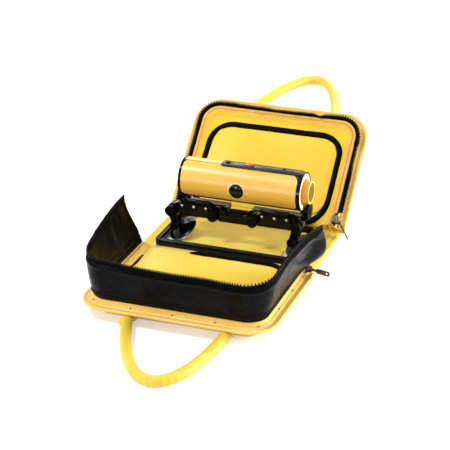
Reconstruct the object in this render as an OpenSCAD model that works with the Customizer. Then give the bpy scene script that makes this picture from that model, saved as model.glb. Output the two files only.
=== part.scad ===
// Small cylindrical vacuum cleaner on a folding stand, kept in a soft clamshell
// carry case that lies open: lower half in front, spine in the middle, lid behind.
// X runs across the case, +Y away from the front edge, +Z up.  Millimetres.
// The origin is the middle of the lower half's flat underside.

/* [Case] */
// Width of both halves across their flanges
case_w = 340; // [330:1:380]
// Depth of the lower half, from its front edge to the fold
lower_d = 254; // [240:1:300]
// Depth of the lid half, from the fold to its far edge
lid_d = 236; // [220:1:280]
// Depth of the spine between the two folds
spine_d = 180; // [170:1:220]
// Width of the spine panel
spine_w = 322; // [300:1:328]
// Thickness of the spine panel
spine_t = 5; // [3:0.5:8]
// Radius of the outer corners of each half
corner_r = 52; // [46:1:70]
// How far each half bulges outward from its flange
bulge = 20; // [17:0.5:28]
// Wall of the moulded halves
shell_t = 3; // [2:0.25:4]
// Width of the flange and rim, up to the bulge
brim_w = 28; // [26:1:34]
// Height of the inner rim above the flange edge
rim_h = 14; // [11:0.5:18]
// Radius of the bead along the flange edge
bead_r = 2.8; // [2:0.1:3.5]
// Angle between the lid and the surface below it
lid_angle = 44; // [20:1:70]
// Distance between neighbouring flange rivets
rivet_pitch = 70; // [40:1:90]
// Radius of a flange rivet
rivet_r = 1.6; // [1:0.1:2.4]
// Diameter of a foot under the spine
stud_d = 26; // [16:1:40]

/* [Lining] */
// Height of the lining above the flange edge
lining_h = 7; // [5:0.5:9]
// Width of the black trim ring
trim_w = 9; // [6:0.5:12]
// Height of the trim ring
trim_h = 2.4; // [1.5:0.1:4]
// Gap between the case side and the trim ring
trim_side = 39; // [36:1:60]
// Gap between the far edge of a half and its trim ring
trim_far = 48; // [40:1:70]
// Gap between the fold and the trim ring
trim_fold = 12; // [11:1:24]
// Outer corner radius of the trim ring
trim_r = 46; // [30:1:60]
// Crown of the padded panels
crown = 7; // [3:0.5:10]

/* [Side wall] */
// Thickness of the leather wall on the lower half
wall_t = 5; // [3:0.5:7]
// Distance from the flange edge to the middle of the wall
wall_inset = 19.5; // [18.5:0.5:23]
// Height of the wall at the front
wall_front_h = 62; // [40:1:80]
// Height of the wall at its rear ends
wall_rear_h = 90; // [70:1:110]
// How far the top of the front wall bows forward
wall_bow = 10; // [0:1:16]
// How far the left wall leans outward
lean_left = 29; // [0:1:40]
// How far the right wall leans outward
lean_right = 36; // [0:1:40]
// How soon the left wall reaches its lean, going back from the corner
lean_left_bend = 0.45; // [0.3:0.05:2]
// How soon the right wall reaches its lean, going back from the corner
lean_right_bend = 1.1; // [0.3:0.05:2]
// How far the wall flares outward at the right front corner
corner_flare = 11; // [0:1:14]
// How far the left wall's rear end swells outward near its top
swell_left = 9; // [0:1:14]
// How far the right wall's rear end swells outward above its foot
swell_right = 22; // [0:1:26]
// Height of the toothed zip edges
zip_h = 7; // [5:0.5:10]
// Distance from one zip tooth to the next
zip_pitch = 6; // [5:0.5:10]

/* [Handles] */
// Diameter of the padded carry handles
handle_d = 19; // [14:0.5:20]
// Half the distance between a handle's two pivots
handle_half = 85; // [70:1:95]
// Sideways shift of both handles
handle_shift = 9; // [0:1:12]
// How far the front handle's shoulders reach, which sets the length of its loop
front_reach = 246; // [180:1:320]
// How far the rear handle's shoulders reach
rear_reach = 246; // [180:1:320]
// How far the rear handle's loop sags to the left
rear_sag = 24; // [0:1:50]
// Angle between the rear handle and the lid
rear_handle_angle = 40; // [0:1:80]
// Radius of a handle pivot pin
hinge_pin_r = 2.5; // [2:0.1:3]
// Width of a handle's end tongue
tongue_w = 10; // [7:0.5:12]
// Width of each ear beside a tongue
ear_w = 4; // [3:0.5:6]

/* [Tray] */
// Width of the tray's black frame
tray_w = 272; // [262:1:276]
// Depth of the tray's black frame
tray_d = 150; // [130:1:154]
// Width of a frame bar
bar_w = 10; // [8:0.5:12]
// Height of a frame bar above the base plate
bar_h = 7.5; // [6:0.5:9]
// Thickness of the pale base plate
base_t = 2; // [1.5:0.25:2.5]
// How far the base plate shows outside the frame
base_lip = 2; // [1:0.5:2]
// Width of the padded panel inside the frame
mat_w = 186; // [150:1:190]
// Thickness of that panel
mat_t = 2.5; // [1.5:0.25:3.5]

/* [Stand] */
// Distance from the middle to a hip pivot
hip_x = 37; // [35:1:42]
// Length of an arm between its pivots
arm_l = 80; // [76:1:84]
// How far the ankle pivot lies inboard of the elbow pivot
leg_x = 8; // [6:1:12]
// Height of the elbow pivot above the ankle pivot
leg_h = 28; // [27:1:36]
// Height of the ankle pivot above the base plate
ankle_h = 27; // [26:1:34]
// Radius of the arm knuckles
knuckle_r = 9.5; // [8:0.25:9.75]
// Width of a knuckle along its pivot
knuckle_w = 16; // [12:1:18]
// Thickness of the fork cheeks beside a knuckle
cheek_t = 6; // [4:0.5:8]
// Thickness of the cheeks behind a knuckle
back_cheek_t = 4; // [3:0.5:5]
// Radius of the pivot studs
stud_r = 3; // [2.5:0.25:3.5]
// Radius of the hip and elbow knobs
knob_r = 9.5; // [8:0.25:11]
// Radius of the ankle knobs
ankle_knob_r = 7.75; // [6.5:0.25:9]
// Thickness of a thumb knob
knob_t = 8; // [5:0.5:10]
// Radius of a suction foot
foot_r = 27; // [22:0.5:28]
// Sideways tilt of a suction foot
foot_roll = 26; // [16:1:28]
// Forward tilt of a suction foot
foot_pitch = 19.5; // [12:0.5:21]

/* [Cleaner] */
// Radius of the cleaner's round body
body_r = 35; // [32:0.5:36]
// Length of the round body
body_l = 225; // [215:1:232]
// Sideways shift of the body on the stand
body_shift = 5.5; // [3:0.5:7]
// Height of the body's axis above the hip pivots
body_rise = 51; // [50:0.5:56]
// How far the body's axis lies behind the middle of the knuckles
body_back = 28; // [27:0.5:32]
// Wall of the round body
body_t = 2.5; // [2:0.25:3]
// Thickness of the coloured wrap panels
panel_t = 1.4; // [1:0.1:2]
// Angle of the front panel's lower edge below the front
panel_low = 42; // [30:1:50]
// Angle of the front panel's upper edge above the front
panel_high = 77; // [65:1:78]
// Corner radius of the front panel
panel_corner = 9; // [4:0.5:14]
// Width of the black end rings
ring_w = 5; // [4:0.5:8]
// Outer diameter of the hose spigot
spigot_d = 41; // [36:0.5:42]
// Bore of the hose spigot
spigot_bore = 35; // [30:0.5:35]
// How far the hose spigot stands out
spigot_l = 12; // [8:0.5:20]
// Diameter of the round window on the front
lens_d = 27; // [18:0.5:32]
// Height of the control strip above the body
strip_t = 1.6; // [1:0.1:2.5]
// Width of the rocker switch
switch_w = 17.5; // [12:0.5:22]
// Radius of the charging socket
jack_r = 2.75; // [2:0.25:3.5]
// Radius of a tilt knob
tilt_knob_r = 15.5; // [12:0.25:15.75]
// Radius of the pins that the body tilts on
tilt_pin_r = 4; // [3:0.25:4.5]

/* [Hidden] */
$fn = 64;

// Clearances: between moving faces, round a running shaft, between trimmed faces
gap = 0.3;
fit = 0.05;
eps = 0.01;
// Colours
ORANGE = [0.96, 0.72, 0.24];
LEMON = [0.98, 0.87, 0.24];
BLACK = [0.07, 0.07, 0.08];
LEATHER = [0.10, 0.10, 0.11];
STEEL = [0.80, 0.80, 0.78];
PALE = [0.82, 0.80, 0.80];

// Where the folds and the flange edges lie
rim_z = bulge;
fold1_y = lower_d / 2;
fold2_y = fold1_y + spine_d;
spine_y = fold1_y + spine_d / 2;
// The flanges stop short of the folds
fold_gap = 5;
// Tray levels
base_z = rim_z + base_t;

// ---------------------------------------------------------------- helpers
// A half's own frame: X across, Y from the fold to the far edge, Z inward
module lower_frame() { translate([0, fold1_y, rim_z]) mirror([0, 1, 0]) children(); }
module lid_frame() { translate([0, fold2_y, rim_z]) rotate([lid_angle, 0, 0]) children(); }

module along_x(x0, x1) {
  translate([x0, 0, 0]) rotate([90, 0, 90]) linear_extrude(x1 - x0) children();
}
module x_cyl(y, z, x0, x1, r) { translate([x0, y, z]) rotate([0, 90, 0]) cylinder(r = r, h = x1 - x0); }
module y_cyl(x, z, y0, y1, r) { translate([x, y0, z]) rotate([-90, 0, 0]) cylinder(r = r, h = y1 - y0); }
module block(x, y, z) {
  translate([x[0], y[0], z[0]]) cube([x[1] - x[0], y[1] - y[0], z[1] - z[0]]);
}
module side(s) { if (s < 0) mirror([1, 0, 0]) children(); else children(); }

module round_rect(x, y, r) {
  translate([x[0] + r, y[0]]) square([x[1] - x[0] - 2 * r, y[1] - y[0]]);
  translate([x[0], y[0] + r]) square([x[1] - x[0], y[1] - y[0] - 2 * r]);
  for (cx = [x[0] + r, x[1] - r], cy = [y[0] + r, y[1] - r]) translate([cx, cy]) circle(r = r);
}

// Sweeps a profile (x = inset from the edge, y = height) round a half's three free edges
module edge_sweep(d, r, from) {
  hw = case_w / 2;
  for (s = [-1, 1]) side(s) {
    translate([hw, d - r, 0]) rotate([90, 0, 0]) linear_extrude(d - r - from)
      mirror([1, 0]) children();
    translate([hw - r, d - r, 0]) rotate_extrude(angle = 90) translate([r, 0])
      mirror([1, 0]) children();
  }
  along_x(r - hw, hw - r) translate([d, 0]) mirror([1, 0]) children();
}

// Sweeps the same kind of profile round a closed rounded rectangle
module loop_sweep(x, y, r) {
  for (s = [-1, 1]) {
    translate([(x[0] + x[1]) / 2, 0, 0]) side(s)
      translate([(x[1] - x[0]) / 2, y[1] - r, 0]) rotate([90, 0, 0])
        linear_extrude(y[1] - y[0] - 2 * r) mirror([1, 0]) children();
    translate([0, (y[0] + y[1]) / 2, 0]) mirror([0, s < 0 ? 1 : 0, 0])
      along_x(x[0] + r, x[1] - r) translate([(y[1] - y[0]) / 2, 0]) mirror([1, 0]) children();
  }
  for (cx = [0, 1], cy = [0, 1])
    translate([cx ? x[1] - r : x[0] + r, cy ? y[1] - r : y[0] + r, 0])
      mirror([cx ? 0 : 1, 0, 0]) mirror([0, cy ? 0 : 1, 0])
        rotate_extrude(angle = 90) translate([r, 0]) mirror([1, 0]) children();
}

// A rounded tub: plan x by y, corners r, bottom edge rounded e, from z0 up to z1
module tub(x, y, r, e, z0, z1) {
  translate([0, 0, z0 + e]) linear_extrude(z1 - z0 - e) round_rect(x, y, r);
  translate([0, 0, z0]) linear_extrude(e + eps)
    round_rect([x[0] + e, x[1] - e], [y[0] + e, y[1] - e], r - e);
  intersection() {
    translate([0, 0, z0 + e]) loop_sweep(x, y, r) translate([e, 0]) circle(r = e);
    block([x[0], x[1]], [y[0], y[1]], [z0, z0 + e]);
  }
}

// Joins rings of points into one closed skin; band says that a ring is a thin strip,
// whose two long edges face each other, so its end is closed across the strip
module loft(rings, band = false) {
  n = len(rings[0]);
  m = len(rings);
  sides = [for (i = [0 : m - 2], j = [0 : n - 1]) let (k = (j + 1) % n)
    each [[i * n + j, (i + 1) * n + j, i * n + k], [i * n + k, (i + 1) * n + j, (i + 1) * n + k]]];
  cap = band ? [for (j = [0 : n / 2 - 2]) each [[j, j + 1, n - 1 - j], [j + 1, n - 2 - j, n - 1 - j]]]
    : [for (j = [1 : n - 2]) [0, j, j + 1]];
  first = cap;
  last = [for (t = cap) [for (q = [2 : -1 : 0]) (m - 1) * n + t[q]]];
  polyhedron(points = [for (r = rings) each r], faces = concat(first, last, sides));
}

// ---------------------------------------------------------------- the two halves
// Flange and rim in section: bead, shallow groove, rise, flat top
rim_out = wall_inset - wall_t / 2 + 0.5;
// Rivets stand on a narrow flat land beside the rise
rivet_inset = rim_out - rivet_r - 1;
land_h = 6 * rim_h / 14;
module rim_profile() {
  s = rim_h / 14;
  t = shell_t;
  translate([bead_r, bead_r]) circle(r = bead_r, $fn = 32);
  polygon([[bead_r, 2 * bead_r], [7, 4.2], [10.5, 4.2], [rivet_inset - rivet_r - 0.4, land_h],
    [rivet_inset + rivet_r + 0.3, land_h], [rim_out, 12.6 * s], [rim_out + 1.6, rim_h],
    [brim_w + t, rim_h], [brim_w + t, 0], [brim_w, 0], [brim_w, rim_h - t], [rim_out + t, rim_h - t],
    [rim_out + t - 1.2, 8 * s], [15.5, 1.4], [12, 0], [bead_r, 0]]);
}

// Inner ledge that slopes from the rim to the lining
module ledge_profile() {
  polygon([[brim_w + shell_t, lining_h - eps], [brim_w + shell_t, rim_h - 1.6],
    [brim_w + shell_t + 1.5, rim_h - 2.2], [trim_side - 1, lining_h + 1.2],
    [trim_side, lining_h - eps]]);
}

tub_r = corner_r - brim_w;
tub_e = 9;
tub_fold = 14;
function tub_x() = [-case_w / 2 + brim_w, case_w / 2 - brim_w];
function tub_y(d) = [tub_fold, d - brim_w];
function grow(v, k) = [v[0] - k, v[1] + k];

module half_shell(d) {
  edge_sweep(d, corner_r, fold_gap) rim_profile();
  difference() {
    tub(tub_x(), tub_y(d), tub_r, tub_e, -bulge, 0);
    tub(grow(tub_x(), -shell_t), grow(tub_y(d), -shell_t), tub_r - shell_t,
      tub_e - shell_t, shell_t - bulge, 1);
  }
  // Thin strip that carries the fabric fold
  block([bead_r - case_w / 2, case_w / 2 - bead_r], [0.5, tub_fold + shell_t], [-shell_t, 0]);
}

// Foam and lining: fills the tub, stands a little above the flange edge and slopes up to the rim
module half_liner(d) {
  inner = brim_w + shell_t;
  edge_sweep(d, corner_r, tub_fold) ledge_profile();
  tub(grow(tub_x(), -shell_t), grow(tub_y(d), -shell_t), tub_r - shell_t, tub_e - shell_t,
    shell_t - bulge, 0);
  linear_extrude(lining_h)
    round_rect([inner - case_w / 2, case_w / 2 - inner], [tub_fold - 4, d - inner], corner_r - inner);
}

function trim_x() = [trim_side - case_w / 2, case_w / 2 - trim_side];
function trim_y(d) = [trim_fold, d - trim_far];
module half_trim(d) {
  arc_r = (trim_w * trim_w / 4 + trim_h * trim_h) / (2 * trim_h);
  translate([0, 0, lining_h]) loop_sweep(trim_x(), trim_y(d), trim_r) intersection() {
    translate([trim_w / 2, trim_h - arc_r]) circle(r = arc_r, $fn = 48);
    square([trim_w, trim_h]);
  }
}

// Padded panel inside the trim: rings that shrink and climb to the crown
function pad_ring(hx, hy, r, h, n) = [for (q = [0 : 3], k = [0 : n - 1])
  let (a = 90 * q + 90 * k / (n - 1), sx = (q == 0 || q == 3) ? 1 : -1, sy = q < 2 ? 1 : -1)
  [sx * (hx - r) + r * cos(a), sy * (hy - r) + r * sin(a), h]];
module half_pillow(d) {
  x = trim_x()[1] - trim_w;
  y0 = trim_y(d)[0] + trim_w;
  y1 = trim_y(d)[1] - trim_w;
  hy = (y1 - y0) / 2;
  r = trim_r - trim_w;
  steps = [[0, 0], [0, 0.28], [3, 0.52], [9, 0.72], [22, 0.89], [36, 1]];
  translate([0, (y0 + y1) / 2, lining_h])
    loft([for (s = steps) pad_ring(x - s[0], hy - s[0], max(r - s[0], 1), crown * s[1], 8)]);
}

// Points along a half's flange at a given inset, by distance from the left fold end
function path_len(d, inset, from) = let (r = corner_r - inset)
  2 * (d - corner_r - from) + PI * r + case_w - 2 * corner_r;
function path_at(d, inset, from, s) = let (
    r = corner_r - inset, hw = case_w / 2 - inset, straight = d - corner_r - from,
    arc = PI * r / 2, far = case_w - 2 * corner_r,
    s2 = s - straight, s3 = s2 - arc, s4 = s3 - far, s5 = s4 - arc)
  s2 <= 0 ? [-hw, from + s, 180] :
  s3 <= 0 ? let (a = 180 - 90 * s2 / arc) [-hw + r + r * cos(a), d - corner_r + r * sin(a), a] :
  s4 <= 0 ? [-hw + r + s3, d - inset, 90] :
  s5 <= 0 ? let (a = 90 - 90 * s4 / arc) [hw - r + r * cos(a), d - corner_r + r * sin(a), a] :
  [hw, d - corner_r - s5, 0];

module half_rivets(d) {
  from = 10;
  length = path_len(d, rivet_inset, from);
  count = floor(length / rivet_pitch);
  for (k = [0 : count]) let (p = path_at(d, rivet_inset, from, length * k / count))
    translate([p[0], p[1], land_h]) {
      cylinder(r = rivet_r, h = 0.5, $fn = 24);
      translate([0, 0, 0.5]) intersection() {
        translate([0, 0, -rivet_r]) sphere(r = rivet_r * 1.41, $fn = 24);
        cylinder(r = rivet_r, h = rivet_r, $fn = 24);
      }
    }
}

// ---------------------------------------------------------------- leather wall and zips
wall_from = 7;
// Share of the way from the front (0) to the rear end (1)
function rear_share(p) = max(0, (lower_d - wall_inset - p[1]) / (lower_d - wall_inset - wall_from));
function ease(t) = let (u = min(1, max(0, t))) u * u * (3 - 2 * u);
// Bow of the front wall, full in the middle and gone at the corners
function front_bow(p) = p[1] < lower_d - wall_inset - eps ? 0
  : wall_bow * (1 - pow(p[0] / (case_w / 2 - corner_r), 2));
// Flare of the right front corner, fading along the front and along the side
function flare(p) = p[0] < 0 ? 0
  : corner_flare * ease((p[0] / (case_w / 2 - corner_r) - 0.4) / 0.6) * (1 - ease(2 * rear_share(p)));
// Swelling of the wall's rear ends; the right one starts above the slider
foot_h = 0.12;
function swell(p, h) = p[0] < 0
  ? swell_left * ease((rear_share(p) - 0.6) / 0.4) * sin(180 * pow(h, 2.6))
  : swell_right * ease((rear_share(p) - 0.75) / 0.25)
    * sin(180 * pow(max(0, h - foot_h) / (1 - foot_h), 0.75));
function wall_h(p) = wall_front_h + (wall_rear_h - wall_front_h) * pow(rear_share(p), 0.8);
function wall_lean(p) = p[0] < 0
  ? lean_left * pow(rear_share(p), lean_left_bend) * (1 - 0.35 * pow(rear_share(p), 3))
  : lean_right * pow(rear_share(p), lean_right_bend);
// A point on the wall: share h of its height, offset o outward
function wall_pt(p, h, o) = let (
    out = wall_lean(p) * pow(h, 1.1) + (front_bow(p) + flare(p)) * h + swell(p, h) + o
      + 2.5 * sin(180 * h) * (1 - rear_share(p)),
    slant = 0.21 * wall_h(p) * h * pow(rear_share(p), 4))
  [p[0] + cos(p[2]) * out, p[1] + sin(p[2]) * out + slant, rim_h + wall_h(p) * h];
function wall_section(p, hs, t) = concat(
  [for (h = hs) wall_pt(p, h, t / 2)], [for (i = [len(hs) - 1 : -1 : 0]) wall_pt(p, hs[i], -t / 2)]);

module wall_sweep(steps, hs, t) {
  length = path_len(lower_d, wall_inset, wall_from);
  loft([for (k = [0 : steps]) wall_section(
    path_at(lower_d, wall_inset, wall_from, length * k / steps), hs, t)], true);
}

// Toothed edge: sections that jump between the tooth's tip and the gap beside it
function tooth_steps(length) = let (n = floor(length / zip_pitch))
  [for (k = [0 : n - 1]) each [[(k + 0.04) * length / n, 1], [(k + 0.46) * length / n, 1],
    [(k + 0.54) * length / n, 0], [(k + 0.96) * length / n, 0]]];
tooth_h = 2.6;
tape_t = 2.2;
zip_seat = 0.1;
function wall_zip_pt(p, z, o) = let (b = wall_pt(p, 1, o)) [b[0], b[1], b[2] + zip_seat + z];
function lid_zip_pt(p, z, o) = [p[0] + cos(p[2]) * o, p[1] + sin(p[2]) * o, rim_h + z];

// ---------------------------------------------------------------- handles
// A handle's own frame: pivots on X, the loop reaches out along Y
function bez(a, b, c, d, t) = pow(1 - t, 3) * a + 3 * pow(1 - t, 2) * t * b
  + 3 * (1 - t) * t * t * c + t * t * t * d;
function tube_ring(p, dir, r, n) = let (u = dir / norm(dir), w = [u[1], -u[0], 0])
  [for (k = [0 : n - 1]) let (a = -360 * k / n) p + r * (cos(a) * w + sin(a) * [0, 0, 1])];
// The tube starts inside a ferrule, whose tongue holds the pivot bore
ferrule_s = [8, 24];
tongue_r = 5.5;
// Each shoulder, left and right, is how far it is drawn inward and how far it reaches
module handle_loop(left, right) {
  q = [[-handle_half, 10, 0], [-handle_half + left[0], left[1], 0],
    [handle_half - right[0], right[1], 0], [handle_half, 10, 0]];
  n = 40;
  loft([for (i = [0 : n]) let (
      t = i / n, p = bez(q[0], q[1], q[2], q[3], t),
      d = bez(q[0], q[1], q[2], q[3], min(t + 0.01, 1)) - bez(q[0], q[1], q[2], q[3], max(t - 0.01, 0)))
    tube_ring(p, i == 0 || i == n ? [0, i == 0 ? 1 : -1, 0] : d, handle_d / 2, 12)]);
  for (s = [-1, 1]) difference() {
    union() {
      y_cyl(s * handle_half, 0, ferrule_s[0], ferrule_s[1], handle_d / 2 + 0.2);
      x_cyl(0, 0, s * handle_half - tongue_w / 2, s * handle_half + tongue_w / 2, tongue_r);
      block([s * handle_half - tongue_w / 2, s * handle_half + tongue_w / 2],
        [0, ferrule_s[0] + 1], [-tongue_r, tongue_r]);
    }
    x_cyl(0, 0, s * handle_half - tongue_w, s * handle_half + tongue_w, hinge_pin_r + fit);
  }
}
// Two eared lugs, each with its pin; the bulge is behind them along -Y
handle_inset = 18;
handle_drop = bulge / 2 + 0.2;
lug_root = 3;
module handle_lugs() {
  back = handle_inset - brim_w;
  for (s = [-1, 1]) {
    for (k = [-1, 1]) let (
        a = s * handle_half + k * (tongue_w / 2 + gap), b = a + k * ear_w, x = [min(a, b), max(a, b)]) {
      x_cyl(0, 0, x[0], x[1], 6);
      block(x, [back - lug_root, 0], [-6, 6]);
    }
    block([s * handle_half - tongue_w / 2 - gap - ear_w, s * handle_half + tongue_w / 2 + gap + ear_w],
      [back - lug_root, back + 2.2], [-7, 7]);
    x_cyl(0, 0, s * handle_half - tongue_w / 2 - gap - ear_w, s * handle_half + tongue_w / 2 + gap + ear_w,
      hinge_pin_r);
  }
}
// The same, cut to the curve of the bulge that they stand on
module half_lugs(d) {
  difference() {
    translate([handle_shift, d - handle_inset, -handle_drop]) handle_lugs();
    tub(tub_x(), tub_y(d), tub_r, tub_e, -bulge, 0);
  }
}
module front_handle_frame() {
  lower_frame() translate([handle_shift, lower_d - handle_inset, -handle_drop]) children();
}
module rear_handle_frame(turn) {
  lid_frame() translate([handle_shift, lid_d - handle_inset, -handle_drop]) rotate([-turn, 0, 0]) children();
}

// ---------------------------------------------------------------- zip sliders
slider_l = 14;
slider_x = case_w / 2 - wall_inset;
pull_l = 38;
module slider_ears(x, z) {
  for (k = [-1, 1]) translate([x, 0, z + k * 4.3]) {
    translate([0, 0, -1]) cylinder(r = 2.6, h = 2, $fn = 32);
    translate([-4.5, -2.6, -1]) cube([4.5, 5.2, 2]);
  }
  translate([x, 0, z - 5.3]) cylinder(r = 1.2, h = 10.6, $fn = 32);
}
module pull_tab(x, z, turn) {
  translate([x, 0, z]) rotate([0, 0, turn]) difference() {
    union() {
      translate([0, 0, -3]) cylinder(r = 3, h = 6, $fn = 32);
      translate([0, -1.3, -2]) cube([14, 2.6, 4]);
      translate([0, 1.1, 0]) rotate([90, 0, 0]) linear_extrude(2.2)
        round_rect([11, pull_l], [-4.5, 4.5], 3.5);
    }
    translate([0, 0, -4]) cylinder(r = 1.2 + fit, h = 8, $fn = 32);
    translate([pull_l - 6, 5, 0]) rotate([90, 0, 0]) cylinder(r = 2, h = 10, $fn = 24);
  }
}

// ---------------------------------------------------------------- stand
knuckle_y = spine_y - 22;
kn = [knuckle_y - knuckle_w / 2, knuckle_y + knuckle_w / 2];
front_y = [kn[0] - gap - cheek_t, kn[0] - gap];
back_y = [kn[1] + gap, kn[1] + gap + back_cheek_t];
elbow_x = hip_x + arm_l;
ankle_x = elbow_x - leg_x;
ankle_z = base_z + ankle_h;
elbow_z = ankle_z + leg_h;
hip_z = elbow_z;
cheek_r = 8;
ankle_r = 6.5;
spacer_r = 4;
spacer_out = 8;
foot_shift = 9;
// Lowest point of the tilted rim just meets the base plate
foot_sin = sqrt(1 - pow(cos(foot_roll) * cos(foot_pitch), 2));
foot_z = base_z + foot_r * foot_sin - 0.4;

// Flat link in the X-Z plane between two pivots with different end radii
module link(a, b, ra, rb, y) {
  d = b - a;
  l = norm(d);
  n = [-d[1], d[0]] / l;
  translate([0, y[1], 0]) rotate([90, 0, 0]) linear_extrude(y[1] - y[0])
    polygon([a + n * ra, a - n * ra, b - n * rb, b + n * rb]);
  y_cyl(a[0], a[1], y[0], y[1], ra);
  y_cyl(b[0], b[1], y[0], y[1], rb);
}
module pivot_bore(x, z) { y_cyl(x, z, kn[0] - 30, kn[1] + 30, stud_r + fit); }

module arm() {
  difference() {
    union() {
      y_cyl(hip_x, hip_z, kn[0], kn[1], knuckle_r);
      y_cyl(elbow_x, elbow_z, kn[0], kn[1], knuckle_r);
      translate([hip_x, kn[1], hip_z]) rotate([90, 0, 0]) linear_extrude(knuckle_w)
        polygon([[0, -8], [arm_l, -8], [arm_l, 8], [arm_l - 11, 14], [11, 14], [0, 8]]);
      // Raised front plate that holds the screws
      translate([hip_x, kn[0], hip_z]) rotate([90, 0, 0]) linear_extrude(3)
        polygon([[16, -5], [arm_l - 15, -5], [arm_l - 10, 1], [arm_l - 14, 13], [14, 13], [10, 1]]);
      // Rounded rail along the top
      x_cyl(kn[0] + 5, hip_z + 17.5, hip_x + 9, elbow_x - 17, 3.5);
      block([hip_x + 11, elbow_x - 19], [kn[0] + 1.5, kn[0] + 8.5], [hip_z + 10, hip_z + 17.5]);
    }
    pivot_bore(hip_x, hip_z);
    pivot_bore(elbow_x, elbow_z);
    // Lightening recess in the back
    block([hip_x + 16, elbow_x - 16], [kn[1] - 5, kn[1] + 1], [hip_z - 4, hip_z + 8]);
  }
}
module arm_screws() {
  for (u = [0.19, 0.475, 0.755]) translate([hip_x + u * arm_l, kn[0] - 3, hip_z + 9.5])
    rotate([90, 0, 0]) difference() {
      union() {
        cylinder(r = 2.6, h = 0.9, $fn = 32);
        translate([0, 0, 0.9]) intersection() {
          translate([0, 0, -3]) sphere(r = 3.97, $fn = 32);
          cylinder(r = 2.6, h = 2, $fn = 32);
        }
      }
      translate([0, 0, 0.9]) cylinder(r = 1, h = 3, $fn = 6);
    }
}
module leg() {
  difference() {
    for (y = [front_y, back_y]) link([elbow_x, elbow_z], [ankle_x, ankle_z], cheek_r, ankle_r, y);
    pivot_bore(elbow_x, elbow_z);
    pivot_bore(ankle_x, ankle_z);
  }
}
// Bright cross rod that ties the leg's two cheeks together
module spacer() {
  x = (elbow_x + ankle_x) / 2;
  z = (elbow_z + ankle_z) / 2;
  y_cyl(x, z, front_y[1], back_y[0], spacer_r);
  y_cyl(x, z, back_y[1], back_y[1] + spacer_out, spacer_r);
}
// Tilted suction cup, its neck and the ankle barrel; x is the ankle's place.  A foot that
// slides is cut off above the base plate by rise, and its cup is lifted over the frame bar
module foot(x, rise) {
  z = foot_z + 2 * rise;
  difference() {
    intersection() {
      union() {
        translate([x + foot_shift, knuckle_y + 1, z]) rotate([0, -foot_roll, 0])
          rotate([foot_pitch, 0, 0]) rotate_extrude() polygon([[0, 4], [9, 3.6], [18, 2.4],
            [foot_r - 2, 0], [foot_r, 0], [foot_r, 1.4], [foot_r - 5, 3.8], [14, 5.6], [9, 7.4],
            [7, 9], [0, 9]]);
        translate([x + foot_shift, knuckle_y + 1, z]) rotate([0, -foot_roll, 0])
          translate([0, 0, 5]) cylinder(r = 5.5, h = 12);
        y_cyl(x, ankle_z, kn[0], kn[1], 8);
      }
      block([x - 60, x + 60], [0, fold2_y], [base_z + rise, base_z + 100]);
    }
    pivot_bore(x, ankle_z);
    // Room for the leg's two ankle cheeks
    for (y = [front_y, back_y]) y_cyl(x, ankle_z, y[0] - gap, y[1] + gap, ankle_r + gap);
  }
}
// Thumb knob with its stud, turning about Y
module thumb_knob(x, z, knob_r) {
  y1 = front_y[0] - gap;
  difference() {
    union() {
      y_cyl(x, z, y1 - knob_t, y1 - 1, knob_r);
      y_cyl(x, z, y1 - 1, y1, knob_r - 2.5);
      y_cyl(x, z, y1, back_y[1], stud_r);
    }
    for (k = [0 : 11]) translate([x, 0, z]) rotate([0, 30 * k, 0])
      y_cyl(knob_r + 0.6, 0, y1 - knob_t - 1, y1 - 1.8, 1.5);
    translate([x, y1 - knob_t + 1.2, z]) rotate([90, 0, 0]) cylinder(r = knob_r - 3.2, h = 2);
  }
}

// ---------------------------------------------------------------- cleaner
body_y = knuckle_y + body_back;
body_z = hip_z + body_rise;
body_x = [body_shift - body_l / 2, body_shift + body_l / 2];
// The body tilts on pins in lugs below its two ends, low enough for the knobs to clear the spigot
tilt_r = spigot_d / 2 + tilt_knob_r + 0.6;
lug_r = tilt_pin_r + 3.5;
lug_sink = 1;
tilt_y = body_y + 3;
tilt_z = body_z - tilt_r;
bracket_r = 9;
bracket_t = 3.5;
bracket_gap = 1;
beam_h = 8;
beam_y = [tilt_y - bracket_r, tilt_y + bracket_r - 1];
beam_z = [tilt_z - lug_r - 1 - beam_h, tilt_z - lug_r - 1];
// A lug between an end ring and the tilt pin
module tilt_lug(x) {
  along_x(x[0], x[1]) difference() {
    union() {
      translate([tilt_y, tilt_z]) circle(r = lug_r);
      polygon([[tilt_y - lug_r, tilt_z], [tilt_y + lug_r, tilt_z], [tilt_y + lug_r, body_z - body_r / 2],
        [tilt_y - lug_r, body_z - body_r / 2]]);
    }
    translate([body_y, body_z]) circle(r = body_r - lug_sink);
  }
}

// Frame on the body: X along it, Y round it upward from the front, Z outward
module at_angle(x, a) { translate([x, body_y, body_z]) rotate([90 - a, 0, 0]) children(); }
// Wedge of the Y-Z plane between two angles measured from the front upward
module wedge(a0, a1) {
  polygon(concat([[0, 0]], [for (k = [0 : 6]) let (a = a0 + (a1 - a0) * k / 6)
    [-70 * cos(a), 70 * sin(a)]]));
}
module shell_part(x, r0, r1, a0, a1) {
  along_x(x[0], x[1]) translate([body_y, body_z]) intersection() {
    difference() {
      circle(r = r1, $fn = 96);
      circle(r = r0, $fn = 96);
    }
    wedge(a0, a1);
  }
}
module panel_corner_cut(x, a, sx, sy, r) {
  at_angle(x, a) translate([0, 0, body_r - 12]) difference() {
    translate([sx > 0 ? -r : -1, sy > 0 ? -r : -1, 0]) cube([r + 1, r + 1, 24]);
    translate([-sx * r, -sy * r, -1]) cylinder(r = r, h = 26);
  }
}
panel_x = [body_x[0] + ring_w, body_x[1] - ring_w - 1];
core_r = body_r - panel_t;

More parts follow.
